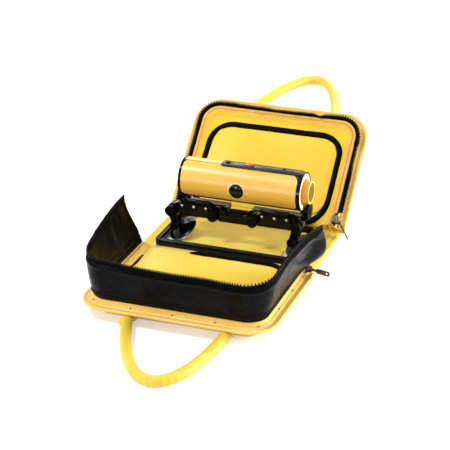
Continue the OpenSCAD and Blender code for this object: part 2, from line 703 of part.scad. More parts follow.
module body_tube() color(BLACK) {
  difference() {
    union() {
      x_cyl(body_y, body_z, body_x[0] + ring_w, body_x[1] - ring_w, core_r);
      // Collar round the hose end
      x_cyl(body_y, body_z, body_x[1] - ring_w - 1, body_x[1], body_r);
    }
    x_cyl(body_y, body_z, body_x[0], body_x[1] - ring_w, core_r - body_t);
    x_cyl(body_y, body_z, body_x[1] - ring_w - 1, body_x[1] + 1, face_r);
    // Flat seats for the switch, the lamp button and the charging socket
    block([switch_x - switch_w / 2 - 1, switch_x + switch_w / 2 + 1], [body_y - 5, body_y + 5],
      [body_z + body_r - 8, body_z + body_r + 5]);
    translate([button_x, body_y, body_z]) cylinder(r = 5, h = 60);
    translate([jack_x, body_y, body_z]) cylinder(r = jack_r, h = 60);
  }
  // Lower housing between the panels
  shell_part([panel_x[0], panel_x[1]], core_r - 0.5, body_r - 0.4, -panel_low - 94, -panel_low - 1);
  // Lugs and tilt pins
  reach = bracket_gap + bracket_t + 4;
  for (s = [0, 1]) {
    root = s ? [body_x[1] - ring_w - 1, body_x[1]] : [body_x[0] + ring_w, body_x[0] + 2 * ring_w];
    tilt_lug(root);
    x_cyl(tilt_y, tilt_z, s ? root[0] : body_x[0] - reach, s ? body_x[1] + reach : root[1], tilt_pin_r);
  }
}

module front_panel() color(ORANGE) {
  difference() {
    shell_part(panel_x, core_r, body_r, -panel_low, panel_high);
    for (sx = [-1, 1]) {
      panel_corner_cut(sx > 0 ? panel_x[1] : panel_x[0], panel_high, sx, 1, panel_corner);
      panel_corner_cut(sx > 0 ? panel_x[1] : panel_x[0], -panel_low, sx, -1, panel_corner);
    }
    at_angle(lens_x, lens_a) cylinder(r = lens_d / 2, h = 60);
    control_strip_solid(gap);
  }
  // Thin raised ring round the window
  intersection() {
    at_angle(lens_x, lens_a) difference() {
      cylinder(r = lens_d / 2 + 2, h = 60);
      cylinder(r = lens_d / 2, h = 70);
    }
    shell_part(panel_x, core_r, body_r + 0.7, -panel_low, panel_high);
  }
}
module rear_panel() color(ORANGE) {
  difference() {
    shell_part(panel_x, core_r, body_r, panel_high + 2, 222);
    control_strip_solid(gap);
  }
}

lens_x = 3;
lens_a = -4;
module window() color(BLACK) {
  dome_r = 26;
  at_angle(lens_x, lens_a) difference() {
    intersection() {
      cylinder(r = lens_d / 2 - 0.1, h = 60);
      translate([0, 0, body_r + 3.4 - dome_r]) sphere(r = dome_r, $fn = 96);
    }
    translate([-20, -20, -1]) cube([40, 40, body_r - 4]);
    translate([-30, 0, 0]) rotate([0, 90, 0]) cylinder(r = core_r, h = 60);
  }
}

// Raised strip along the top, from a slanted left end to the right ring
strip_x = [body_shift - 40, panel_x[1] - 1];
strip_a = [69, 112];
switch_x = body_shift + 10;
button_x = body_shift - 30;
jack_x = body_shift + 74;
module control_strip_solid(grow) {
  difference() {
    shell_part([strip_x[0] - grow, strip_x[1] + grow], core_r, body_r + strip_t,
      strip_a[0] - grow, strip_a[1] + grow);
    at_angle(strip_x[0], strip_a[0]) translate([-20 - grow, -1 - grow, 0]) rotate([0, 0, -32])
      cube([40, 14, 60], center = false);
    at_angle(strip_x[0] - grow, strip_a[1]) rotate([0, 0, 38]) translate([-24, -4, 0]) cube([24, 24, 60]);
  }
}
module control_strip() color(BLACK) {
  difference() {
    control_strip_solid(0);
    block([switch_x - switch_w / 2 - gap, switch_x + switch_w / 2 + gap], [body_y - 4 - gap, body_y + 4 + gap],
      [body_z, body_z + 60]);
    translate([button_x, body_y, body_z]) cylinder(r = 4 + gap, h = 60);
    translate([jack_x, body_y, body_z]) cylinder(r = jack_r, h = 60);
  }
}
switch_z = body_z + body_r - 1;
switch_throw = 12;
module power_switch() color([0.75, 0.2, 0.12]) {
  translate([switch_x, body_y + 4, switch_z]) rotate([90, 0, 0]) linear_extrude(8) rotate(switch_throw / 2)
    polygon([[-switch_w / 2 + 0.3, 1.6], [-switch_w / 2 + 0.8, 4.4], [0, 3.2], [switch_w / 2 - 0.8, 4.4],
      [switch_w / 2 - 0.3, 1.6], [3, -3], [-3, -3]]);
}
module lamp_button() color(BLACK) {
  translate([button_x, body_y, body_z + body_r - 4]) {
    cylinder(r = 4, h = strip_t + 5.4);
    translate([0, 0, -1]) cylinder(r = 4.8, h = 1.4);
  }
}

module left_cap() color(BLACK) {
  difference() {
    union() {
      x_cyl(body_y, body_z, body_x[0], body_x[0] + ring_w, body_r);
      x_cyl(body_y, body_z, body_x[0] + ring_w, body_x[0] + ring_w + 3, core_r - body_t);
    }
    // Shallow dish in the outer face
    x_cyl(body_y, body_z, body_x[0] - 1, body_x[0] + 1, 20);
    // Notch for the tilt pin
    x_cyl(tilt_y, tilt_z, body_x[0] - 1, body_x[0] + ring_w + 4, tilt_pin_r + gap);
  }
}
port_x = body_x[1];
face_r = body_r - 2.5;
module hose_port() color(LEMON) {
  difference() {
    union() {
      x_cyl(body_y, body_z, port_x - ring_w - 1, port_x - 0.6, face_r);
      x_cyl(body_y, body_z, port_x - 22, port_x + spigot_l, spigot_d / 2);
    }
    // Round recess that the spigot stands in
    difference() {
      x_cyl(body_y, body_z, port_x - 3.5, port_x + 1, spigot_d / 2 + 2.2);
      x_cyl(body_y, body_z, port_x - 4, port_x + 2, spigot_d / 2);
    }
    x_cyl(body_y, body_z, port_x - 23, port_x + spigot_l + 1, spigot_bore / 2);
    for (a = [62, 242]) at_angle(port_x - 1.6, a) translate([0, 0, face_r - 4])
      rotate([0, 90, 0]) cylinder(r = 1.5, h = 2, $fn = 24);
  }
}

// Inside, from left to right: battery, motor, fan, filter, dust cup
inner_r = core_r - body_t - 1;
battery_l = 66;
motor_l = 42;
fan_l = 12;
filter_l = 14;
battery_x = [body_x[0] + ring_w + 4, body_x[0] + ring_w + 4 + battery_l];
motor_x = [battery_x[1] + 8, battery_x[1] + 8 + motor_l];
fan_x = [motor_x[1] + 3, motor_x[1] + 3 + fan_l];
filter_x = [fan_x[1] + 3, fan_x[1] + 3 + filter_l];
dust_x = [filter_x[1], port_x - 23];
shaft_r = 2;
module battery() color([0.20, 0.35, 0.55]) {
  for (k = [0 : 2]) at_angle(battery_x[0], 90 + 120 * k) translate([0, 0, 13])
    rotate([0, 90, 0]) cylinder(r = 9.1, h = battery_l);
  difference() {
    for (x = [battery_x[0], battery_x[1] - 4]) x_cyl(body_y, body_z, x, x + 4, 25);
    for (k = [0 : 2]) at_angle(battery_x[0] - 1, 90 + 120 * k) translate([0, 0, 13])
      rotate([0, 90, 0]) cylinder(r = 9.1 - eps, h = battery_l + 2);
  }
}
board_t = 1.6;
board_z = body_z + inner_r - 5.5;
module circuit_board() color([0.1, 0.4, 0.2]) {
  translate([jack_x - 62, body_y - 14, board_z]) cube([54, 28, board_t]);
  for (k = [0 : 3]) translate([jack_x - 56 + 13 * k, body_y - 4, board_z - 2]) cube([7, 8, 2]);
}
module motor() color([0.55, 0.56, 0.58]) {
  x_cyl(body_y, body_z, motor_x[0], motor_x[1], 19);
  x_cyl(body_y, body_z, motor_x[0] - 3, motor_x[0], 8);
  x_cyl(body_y, body_z, motor_x[1], fan_x[1] + 1, shaft_r);
  // Rubber mounting rings
  for (x = [motor_x[0] + 4, motor_x[1] - 8]) difference() {
    x_cyl(body_y, body_z, x, x + 4, inner_r + 1);
    x_cyl(body_y, body_z, x - 1, x + 5, 19 - eps);
    translate([x - 1, body_y - 16, board_z - 5]) cube([6, 32, 20]);
  }
}
module impeller() color([0.85, 0.85, 0.85]) {
  difference() {
    union() {
      x_cyl(body_y, body_z, fan_x[0], fan_x[0] + 1.6, 21);
      x_cyl(body_y, body_z, fan_x[0], fan_x[1], 5);
      for (k = [0 : 8]) at_angle(fan_x[0] + 1.5, 40 * k) translate([0, 0, 4]) rotate([0, 0, 24])
        cube([fan_l - 2.5, 1.4, 15.5]);
    }
    x_cyl(body_y, body_z, fan_x[0] - 1, fan_x[1] + 1, shaft_r + fit);
  }
}
module filter() color([0.9, 0.9, 0.86]) {
  difference() {
    x_cyl(body_y, body_z, filter_x[0], filter_x[1], 21);
    x_cyl(body_y, body_z, filter_x[0] - 1, filter_x[1] - 2, 13);
  }
  for (k = [0 : 17]) at_angle(filter_x[0], 20 * k) translate([0, -0.7, 20]) cube([filter_l, 1.4, 2.2]);
}
module dust_cup() color([0.6, 0.6, 0.62]) {
  difference() {
    x_cyl(body_y, body_z, dust_x[0], dust_x[1], 22);
    x_cyl(body_y, body_z, dust_x[0] + 2, dust_x[1] + 1, 20);
    x_cyl(body_y, body_z, dust_x[0] - 1, dust_x[1] + 1, 12);
  }
}

// Cradle: front bar and forks between the arms, beams and brackets that hold the body
module cradle() color(BLACK) {
  inner = hip_x - knuckle_r - 1;
  member = 4.5;
  difference() {
    union() {
      block([-inner, inner], [front_y[0], front_y[0] + 14], [hip_z - 9.5, hip_z + 3.5]);
      for (s = [-1, 1]) side(s) {
        link([hip_x, hip_z], [inner - 2, hip_z], cheek_r, cheek_r, front_y);
        link([hip_x, hip_z], [inner - 2, hip_z], cheek_r, cheek_r, back_y);
        // Cheek that rises from the front bar to the beam
        along_x(inner - member, inner) polygon([[front_y[0], hip_z - 7], [back_y[1], hip_z - 7],
          [beam_y[1], beam_z[0]], [beam_y[1], beam_z[1]], [beam_y[0], beam_z[1]],
          [front_y[0], hip_z + 5]]);
        block([inner - member, body_l / 2 - 8], beam_y, beam_z);
      }
      for (s = [-1, 1]) let (
          x_in = s < 0 ? body_x[0] - bracket_gap : body_x[1] + bracket_gap,
          x = s < 0 ? [x_in - bracket_t, x_in] : [x_in, x_in + bracket_t]) {
        block([min(x[0], s * body_l / 2 - s * 20), max(x[1], s * body_l / 2 - s * 20)], beam_y, beam_z);
        block(x, [tilt_y - bracket_r, tilt_y + bracket_r - 1], [beam_z[0], tilt_z]);
        x_cyl(tilt_y, tilt_z, x[0], x[1], bracket_r);
      }
    }
    for (s = [-1, 1]) pivot_bore(s * hip_x, hip_z);
    x_cyl(tilt_y, tilt_z, body_x[0] - 20, body_x[1] + 20, tilt_pin_r + fit);
  }
}
module tilt_knob(s) color(BLACK) {
  x_in = s < 0 ? body_x[0] - bracket_gap - bracket_t - gap : body_x[1] + bracket_gap + bracket_t + gap;
  translate([x_in, tilt_y, tilt_z]) rotate([0, s * 90, 0]) difference() {
    union() {
      cylinder(r = tilt_knob_r - 1, h = 5);
      translate([0, 0, 1]) cylinder(r = tilt_knob_r, h = 3);
      cylinder(r = 6, h = 6.2);
    }
    translate([0, 0, -1]) cylinder(r = tilt_pin_r + fit, h = 5.2);
    for (k = [0 : 15]) rotate([0, 0, 22.5 * k]) translate([tilt_knob_r + 1, 0, -1])
      cylinder(r = 1.8, h = 8, $fn = 24);
  }
}

// ---------------------------------------------------------------- nodes of the case
module lower_shell() color(ORANGE) lower_frame() half_shell(lower_d);
module lower_liner() color(LEMON) lower_frame() half_liner(lower_d);
module lower_trim() color(BLACK) lower_frame() half_trim(lower_d);
module lower_pillow() color(LEMON) lower_frame() half_pillow(lower_d);
module lower_rivets() color([0.25, 0.2, 0.12]) lower_frame() half_rivets(lower_d);
module lid_shell() color(ORANGE) lid_frame() half_shell(lid_d);
module lid_liner() color(LEMON) lid_frame() half_liner(lid_d);
module lid_trim() color(BLACK) lid_frame() half_trim(lid_d);
module lid_pillow() color(LEMON) lid_frame() half_pillow(lid_d);
module lid_rivets() color([0.25, 0.2, 0.12]) lid_frame() half_rivets(lid_d);

module gusset() color(LEATHER) lower_frame() wall_sweep(56, [0, foot_h, 0.4, 0.7, 1], wall_t);
module gusset_zip() color(BLACK) {
  length = path_len(lower_d, wall_inset, wall_from);
  lower_frame() loft([for (s = tooth_steps(length)) let (
      p = path_at(lower_d, wall_inset, wall_from, s[0]), top = zip_h - (s[1] > 0 ? 0 : tooth_h))
    [wall_zip_pt(p, 0, tape_t / 2), wall_zip_pt(p, top, tape_t / 2),
     wall_zip_pt(p, top, -tape_t / 2), wall_zip_pt(p, 0, -tape_t / 2)]]);
}
module lid_zip() color(BLACK) {
  length = path_len(lid_d, wall_inset, wall_from);
  lid_frame() loft([for (s = tooth_steps(length)) let (
      p = path_at(lid_d, wall_inset, wall_from, s[0]), top = zip_h - (s[1] > 0 ? 0 : tooth_h))
    [lid_zip_pt(p, 0, tape_t / 2), lid_zip_pt(p, top, tape_t / 2),
     lid_zip_pt(p, top, -tape_t / 2), lid_zip_pt(p, 0, -tape_t / 2)]]);
}

module front_lugs() color(ORANGE) lower_frame() half_lugs(lower_d);
module rear_lugs() color(ORANGE) lid_frame() half_lugs(lid_d);
module front_handle() color(LEMON) front_handle_frame()
  handle_loop([82, front_reach + 10], [4, front_reach - 10]);
module rear_handle() color(LEMON) rear_handle_frame(rear_handle_angle)
  handle_loop([77 - rear_sag, rear_reach + 52], [20 + rear_sag, rear_reach - 40]);

// Slider on the lower zip: rides outside the foot of the leather wall
lower_slider_v = 11;
slider_gap = 2.4;
lower_slider_z = rim_h;
pull_droop = 16;
lid_slider_v = 17;
lid_ear_shift = 4;
module lower_slider() color(STEEL) lower_frame() translate([0, lower_slider_v, 0]) {
  x0 = slider_x + wall_t / 2 + slider_gap;
  block([x0, x0 + 5], [-slider_l / 2, slider_l / 2], [lower_slider_z - 4, lower_slider_z + 4]);
  slider_ears(x0 + 8.5, lower_slider_z);
}
module lower_pull() color(STEEL) lower_frame() translate([0, lower_slider_v, 0])
  pull_tab(slider_x + wall_t / 2 + slider_gap + 8.5, lower_slider_z, pull_droop);
// Slider on the lid's zip: straddles the toothed edge
module lid_slider() color(STEEL) lid_frame() translate([0, lid_slider_v, 0]) {
  difference() {
    block([slider_x - 5, slider_x + 5], [-slider_l / 2, slider_l / 2], [rim_h + 0.6, rim_h + zip_h + 3]);
    block([slider_x - tape_t / 2 - 0.5, slider_x + tape_t / 2 + 0.5], [-slider_l, slider_l],
      [rim_h, rim_h + zip_h + 0.5]);
  }
  translate([0, -lid_ear_shift, 0]) slider_ears(slider_x + 8.5, rim_h + 5);
}
module lid_pull() color(STEEL) lid_frame() translate([0, lid_slider_v - lid_ear_shift, 0])
  pull_tab(slider_x + 8.5, rim_h + 5, -52);

// ---------------------------------------------------------------- nodes of spine and tray
module spine_panel() color(LEMON) {
  hw = spine_w / 2;
  translate([0, 0, rim_z - spine_t]) linear_extrude(spine_t)
    round_rect([-hw, hw], [fold1_y + 0.5, fold2_y - 0.5], 3);
}
module spine_feet() color(BLACK) {
  for (sx = [-1, 1], sy = [-1, 1]) translate([sx * (spine_w / 2 - 30), spine_y + sy * (spine_d / 2 - 30), 0]) {
    cylinder(r = stud_d / 2 - 2, h = 2);
    translate([0, 0, 2]) cylinder(r = stud_d / 2, h = rim_z - spine_t - 2);
  }
}
tray_x = [-tray_w / 2, tray_w / 2];
tray_y = [spine_y - tray_d / 2, spine_y + tray_d / 2];
module tray_base() color(PALE) {
  translate([0, 0, rim_z]) linear_extrude(base_t) round_rect(grow(tray_x, base_lip), grow(tray_y, base_lip), 12);
}
module tray_frame() color(BLACK) {
  translate([0, 0, base_z]) loop_sweep(tray_x, tray_y, bar_w + 2) {
    square([bar_w, bar_h - 3.5]);
    for (i = [0.27, 0.73]) translate([bar_w * i, bar_h - 2.7]) circle(r = 2.7, $fn = 32);
  }
}
module tray_mat() color(LEMON) {
  translate([0, 0, base_z]) linear_extrude(mat_t)
    round_rect([-mat_w / 2, mat_w / 2], grow(tray_y, -bar_w - 0.5), 4);
}

// ---------------------------------------------------------------- nodes of the stand
module left_foot() color(BLACK) foot(-ankle_x, 0);
module right_foot() color(BLACK) foot(ankle_x, gap);
module left_leg() color(BLACK) side(-1) leg();
module right_leg() color(BLACK) leg();
module left_spacer() color(STEEL) side(-1) spacer();
module right_spacer() color(STEEL) spacer();
module left_arm() color(BLACK) side(-1) arm();
module right_arm() color(BLACK) arm();
module left_screws() color(STEEL) side(-1) arm_screws();
module right_screws() color(STEEL) arm_screws();
module left_ankle_knob() color(BLACK) thumb_knob(-ankle_x, ankle_z, ankle_knob_r);
module left_elbow_knob() color(BLACK) thumb_knob(-elbow_x, elbow_z, knob_r);
module left_hip_knob() color(BLACK) thumb_knob(-hip_x, hip_z, knob_r);
module right_hip_knob() color(BLACK) thumb_knob(hip_x, hip_z, knob_r);
module right_elbow_knob() color(BLACK) thumb_knob(elbow_x, elbow_z, knob_r);
module right_ankle_knob() color(BLACK) thumb_knob(ankle_x, ankle_z, ankle_knob_r);
module left_tilt_knob() tilt_knob(-1);
module right_tilt_knob() tilt_knob(1);

lower_shell();
lower_liner();
lower_trim();
lower_pillow();
lower_rivets();
gusset();
gusset_zip();
front_lugs();
front_handle();
lower_slider();
lower_pull();
spine_panel();
spine_feet();
tray_base();
tray_mat();
tray_frame();
lid_shell();
lid_liner();
lid_trim();
lid_pillow();
lid_rivets();
lid_zip();
rear_lugs();
rear_handle();
lid_slider();
lid_pull();
left_foot();
left_leg();
left_spacer();
left_arm();
left_screws();
cradle();
right_arm();
right_screws();
right_leg();
right_spacer();
right_foot();
left_ankle_knob();
left_elbow_knob();
left_hip_knob();
right_hip_knob();
right_elbow_knob();
right_ankle_knob();
left_tilt_knob();
right_tilt_knob();
body_tube();
front_panel();
rear_panel();
left_cap();
hose_port();
control_strip();
window();
power_switch();
lamp_button();
motor();
impeller();
filter();
dust_cup();
battery();
circuit_board();
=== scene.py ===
"""Looks of an open clamshell carry case that holds a small cylindrical vacuum cleaner on a
folding stand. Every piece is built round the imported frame, in its row frame; lengths here
are millimetres, and turn into metres where a mesh is made."""
from math import copysign, cos, exp, hypot, pi as PI, radians, sin, sqrt

import bmesh
import bpy
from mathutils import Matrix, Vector, noise

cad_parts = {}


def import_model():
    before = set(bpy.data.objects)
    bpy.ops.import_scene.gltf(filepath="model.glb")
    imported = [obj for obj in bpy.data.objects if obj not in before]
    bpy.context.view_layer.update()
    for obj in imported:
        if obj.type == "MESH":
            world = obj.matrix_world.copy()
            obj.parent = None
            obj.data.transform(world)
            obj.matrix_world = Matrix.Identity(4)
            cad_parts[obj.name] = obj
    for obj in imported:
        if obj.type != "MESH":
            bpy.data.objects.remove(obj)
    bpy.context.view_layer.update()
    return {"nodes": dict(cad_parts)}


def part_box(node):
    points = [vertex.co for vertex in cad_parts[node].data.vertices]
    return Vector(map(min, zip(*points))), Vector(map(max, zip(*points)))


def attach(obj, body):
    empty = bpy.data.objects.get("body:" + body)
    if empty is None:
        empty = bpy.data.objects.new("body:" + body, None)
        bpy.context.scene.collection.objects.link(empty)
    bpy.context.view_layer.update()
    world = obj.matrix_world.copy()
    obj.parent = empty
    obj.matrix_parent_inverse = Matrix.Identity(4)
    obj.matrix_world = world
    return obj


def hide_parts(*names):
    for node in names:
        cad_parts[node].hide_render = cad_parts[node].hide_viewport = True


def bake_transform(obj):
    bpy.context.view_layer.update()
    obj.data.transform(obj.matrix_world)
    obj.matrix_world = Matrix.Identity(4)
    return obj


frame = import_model()

MM = 0.001
UP = Vector((0, 0, 1))


def low(node):
    """Lowest corner of a node's box, in millimetres."""
    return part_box(node)[0] / MM


def high(node):
    """Highest corner of a node's box, in millimetres."""
    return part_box(node)[1] / MM


# ---- driving sizes
# Case: the two halves' depths run from their folds to their free edges
HALF_W = high("lower_shell").x
FOLD_1 = low("spine_panel").y - 0.5
FOLD_2 = high("spine_panel").y + 0.5
RIM_Z = high("spine_panel").z
LOWER_D = FOLD_1 - low("lower_shell").y
LID_D = 236
LID_ANGLE = radians(44)
CORNER_R = 52
RIM_H = 14
LINING_H = 7
CREASE_INSET = 25.7
FLOOR_INSET = 36

# Trim rings and padded panels; LAP is where the lid ring's ends overlap, in x
TRIM_W = 9
TRIM_SIDE = 39
TRIM_FAR = 48
TRIM_FOLD = 12
TRIM_R = 46
LAP = (62, 90)

# Leather wall; rear_share, from 0 in front to 1 at the rear ends, places most of its forms
WALL_INSET = 19.5
WALL_T = 5
WALL_FROM = 7
FRONT_H = 62
REAR_RISE = 28
FRONT_BOW = 10
CORNER_FLARE = 11
FOOT_H = 0.12
REAR_END = 0.75
BASE_ZIP_H = 8.5
HEM_HEIGHTS = (9, 21)
SEAMS = ((13.5, 1.1, 1.6), (3.0, 0.8, 1.4))

# Zips: tooth spacing, tape heights, and the lid tape's lean outward in degrees by distance
# along it from the left; it has a kink on its far side
TOOTH_PITCH = 4.4
COIL_PITCH = 2.6
TAPE_STEP = 2.2
TAPE_H = 6.2
KINK = 75
ZIP_LEAN = [(0, 28), (177, 32), (228, 28), (288, 17), (350, 10), (400, 14), (440, 28),
            (473, 30), (498, 38), (524, 68), (540, 89), (800, 89)]

# Carry handles; the section of a collar is (height, radius)
HANDLE_D = 19
HANDLE_HALF = 85
HANDLE_SHIFT = 9
HANDLE_INSET = 18
HANDLE_DROP = 10.2
REAR_TURN = radians(40)
COLLAR = ((7.2, 3.0), (7.4, 6.0), (8.8, 8.0), (11.0, 9.3), (13.0, 9.7), (22.0, 9.75),
          (23.4, 9.7), (24.4, 9.0))
COLLAR_SEAM = 20.5
TONGUE_HALF = 5
TONGUE_R = 5.4

# Tray and cleaner
TRAY_W = 272
TRAY_D = 150
FEET_FROM = 166
FEET_TO = 226
BODY_R = 35
BODY_TILT = radians(-4)
BODY_AXIS = (low("left_cap") + high("left_cap")) / 2


# ---- frames and paths
def in_lower(x, v, w):
    """A point of the lower half: v runs from the fold to the front edge, w inward (up)."""
    return Vector((x, FOLD_1 - v, RIM_Z + w))


def in_lid(x, v, w):
    """A point of the lid: v runs from the fold to the far edge, w inward."""
    c, s = cos(LID_ANGLE), sin(LID_ANGLE)
    return Vector((x, FOLD_2 + v * c - w * s, RIM_Z + v * s + w * c))


def path_length(depth, inset, start):
    """Length of the U that runs at an inset from a half's three free edges."""
    return 2 * (depth - CORNER_R - start) + PI * (CORNER_R - inset) + 2 * (HALF_W - CORNER_R)


def path_at(depth, inset, start, s):
    """Point (x, v) and outward angle of that U, a distance s from its left end."""
    from_right = path_length(depth, inset, start) - s
    if from_right < s:
        x, v, a = path_at(depth, inset, start, from_right)
        return -x, v, PI - a
    r = CORNER_R - inset
    s -= depth - CORNER_R - start
    if s <= 0:
        return inset - HALF_W, depth - CORNER_R + s, PI
    if s <= PI * r / 2:
        a = PI - s / r
        return CORNER_R - HALF_W + r * cos(a), depth - CORNER_R + r * sin(a), a
    return CORNER_R - HALF_W + s - PI * r / 2, depth - inset, PI / 2


def outline(hx, v0, v1, r, step):
    """Points (x, v, outward angle) round a rounded rectangle, from its near side's middle."""
    spots = []

    def line(x0, v0, x1, v1, a):
        n = round(hypot(x1 - x0, v1 - v0) / step)
        spots.extend((x0 + (x1 - x0) * k / n, v0 + (v1 - v0) * k / n, a) for k in range(n))

    at = (0, v0)
    turns = round(PI * r / 2 / step)
    for x, v, a in ((hx - r, v0 + r, -PI / 2), (hx - r, v1 - r, 0), (r - hx, v1 - r, PI / 2),
                    (r - hx, v0 + r, PI)):
        angles = [a + PI / 2 * k / turns for k in range(turns + 1)]
        arc = [(x + r * cos(b), v + r * sin(b), b) for b in angles]
        line(*at, *arc[0][:2], a)
        spots += arc[:-1]
        at = arc[-1][:2]
    line(*at, 0, v0, -PI / 2)
    return spots


def beside(x, v, a, o):
    """The point that lies o outward of a point on a path."""
    return x + cos(a) * o, v + sin(a) * o


def stations(length, step):
    """Evenly spaced distances from one end of a path to the other."""
    count = int(length / step)
    return [length * k / count for k in range(count + 1)]


def smooth(t):
    """Smoothstep from 0 to 1."""
    t = min(1.0, max(0.0, t))
    return t * t * (3 - 2 * t)


def bell(x, centre, width):
    """Smooth bump of height 1 at its centre."""
    return exp(-((x - centre) / width) ** 2)


def wave(x, y, z, seed):
    """Smooth, repeatable noise from -1 to 1."""
    return noise.noise(Vector((x, y, z + 17.3 * seed)))


# ---- mesh helpers
def new_mesh(name, verts, faces):
    """One smooth mesh object from points in millimetres, its faces turned outward."""
    mesh = bpy.data.meshes.new(name)
    mesh.from_pydata([Vector(v) * MM for v in verts], [], faces)
    mesh.validate()
    for p in mesh.polygons:
        p.use_smooth = True
    obj = bpy.data.objects.new(name, mesh)
    bpy.context.scene.collection.objects.link(obj)
    bm = bmesh.new()
    bm.from_mesh(mesh)
    bmesh.ops.recalc_face_normals(bm, faces=bm.faces)
    bm.to_mesh(mesh)
    bm.free()
    return obj


def joined(name, groups, loop=False):
    """One mesh from groups of closed rings of equal length. The rings of a group are joined
    in turn, and its ends are capped, or joined in a loop."""
    verts, faces = [], []
    for rings in groups:
        base, n, m = len(verts), len(rings[0]), len(rings)
        for ring in rings:
            verts.extend(ring)
        for i in range(m if loop else m - 1):
            for j in range(n):
                a, b = base + i * n, base + (i + 1) % m * n
                faces.append((a + j, a + (j + 1) % n, b + (j + 1) % n, b + j))
        if not loop:
            faces.append(tuple(base + j for j in range(n))[::-1])
            faces.append(tuple(base + (m - 1) * n + j for j in range(n)))
    return new_mesh(name, verts, faces)


def sheet(name, lines, count, point, thick):
    """A closed sheet. Each line gives a row of top points, point(line, t) with t from -1 to
    1; thick runs down."""
    rows = [[point(line, -1 + 2 * j / count) for j in range(count + 1)] for line in lines]
    return joined(name, [[row + [p - UP * thick for p in row[::-1]] for row in rows]])


def tube_rings(points, radius, sides, up=UP):
    """Rings round a line of points; radius is a number or a function of (share, angle)."""
    rings = []
    n = len(points)
    side = None
    for i, p in enumerate(points):
        d = (points[min(i + 1, n - 1)] - points[max(i - 1, 0)]).normalized()
        if side is None:
            ref = up if abs(d.dot(up)) < 0.95 else Vector((1, 0, 0))
            side = d.cross(ref).normalized()
        side = (side - d * side.dot(d)).normalized()
        top = side.cross(d).normalized()
        ring = []
        for k in range(sides):
            a = 2 * PI * k / sides
            r = radius(i / (n - 1), a) if callable(radius) else radius
            ring.append(p + (side * cos(a) + top * sin(a)) * r)
        rings.append(ring)
    return rings


def stitches(points, normals, pitch, length, r):
    """Short raised stitches along a line; points are evenly spaced and dense."""
    groups = []
    dist = 0.0
    due = pitch / 2
    for a, b, normal in zip(points, points[1:], normals[1:]):
        step = (b - a).length
        while dist + step >= due and step > 0:
            mid = a.lerp(b, (due - dist) / step)
            nrm = normal.normalized()
            half = (b - a).normalized() * length / 2
            line = [mid - half - nrm * r, mid - half * 0.55 + nrm * r * 0.35,
                    mid + half * 0.55 + nrm * r * 0.35, mid + half - nrm * r]
            groups.append(tube_rings(line, r, 6, nrm))
            due += pitch
        dist += step
    return groups


def dress(obj, body, material):
    """Gives a new piece its body and material."""
    obj.data.materials.append(material.mat)
    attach(obj, body)
    return obj


# ---- materials
# Sockets of the colour mix node, which have no names of their own
MIX_A, MIX_B, MIX_RESULT = 6, 7, 2


def linear(code):
    """Linear colour of an sRGB hex code."""
    out = []
    for k in (1, 3, 5):
        c = int(code[k:k + 2], 16) / 255
        out.append(c / 12.92 if c <= 0.04045 else ((c + 0.055) / 1.055) ** 2.4)
    return (*out, 1.0)


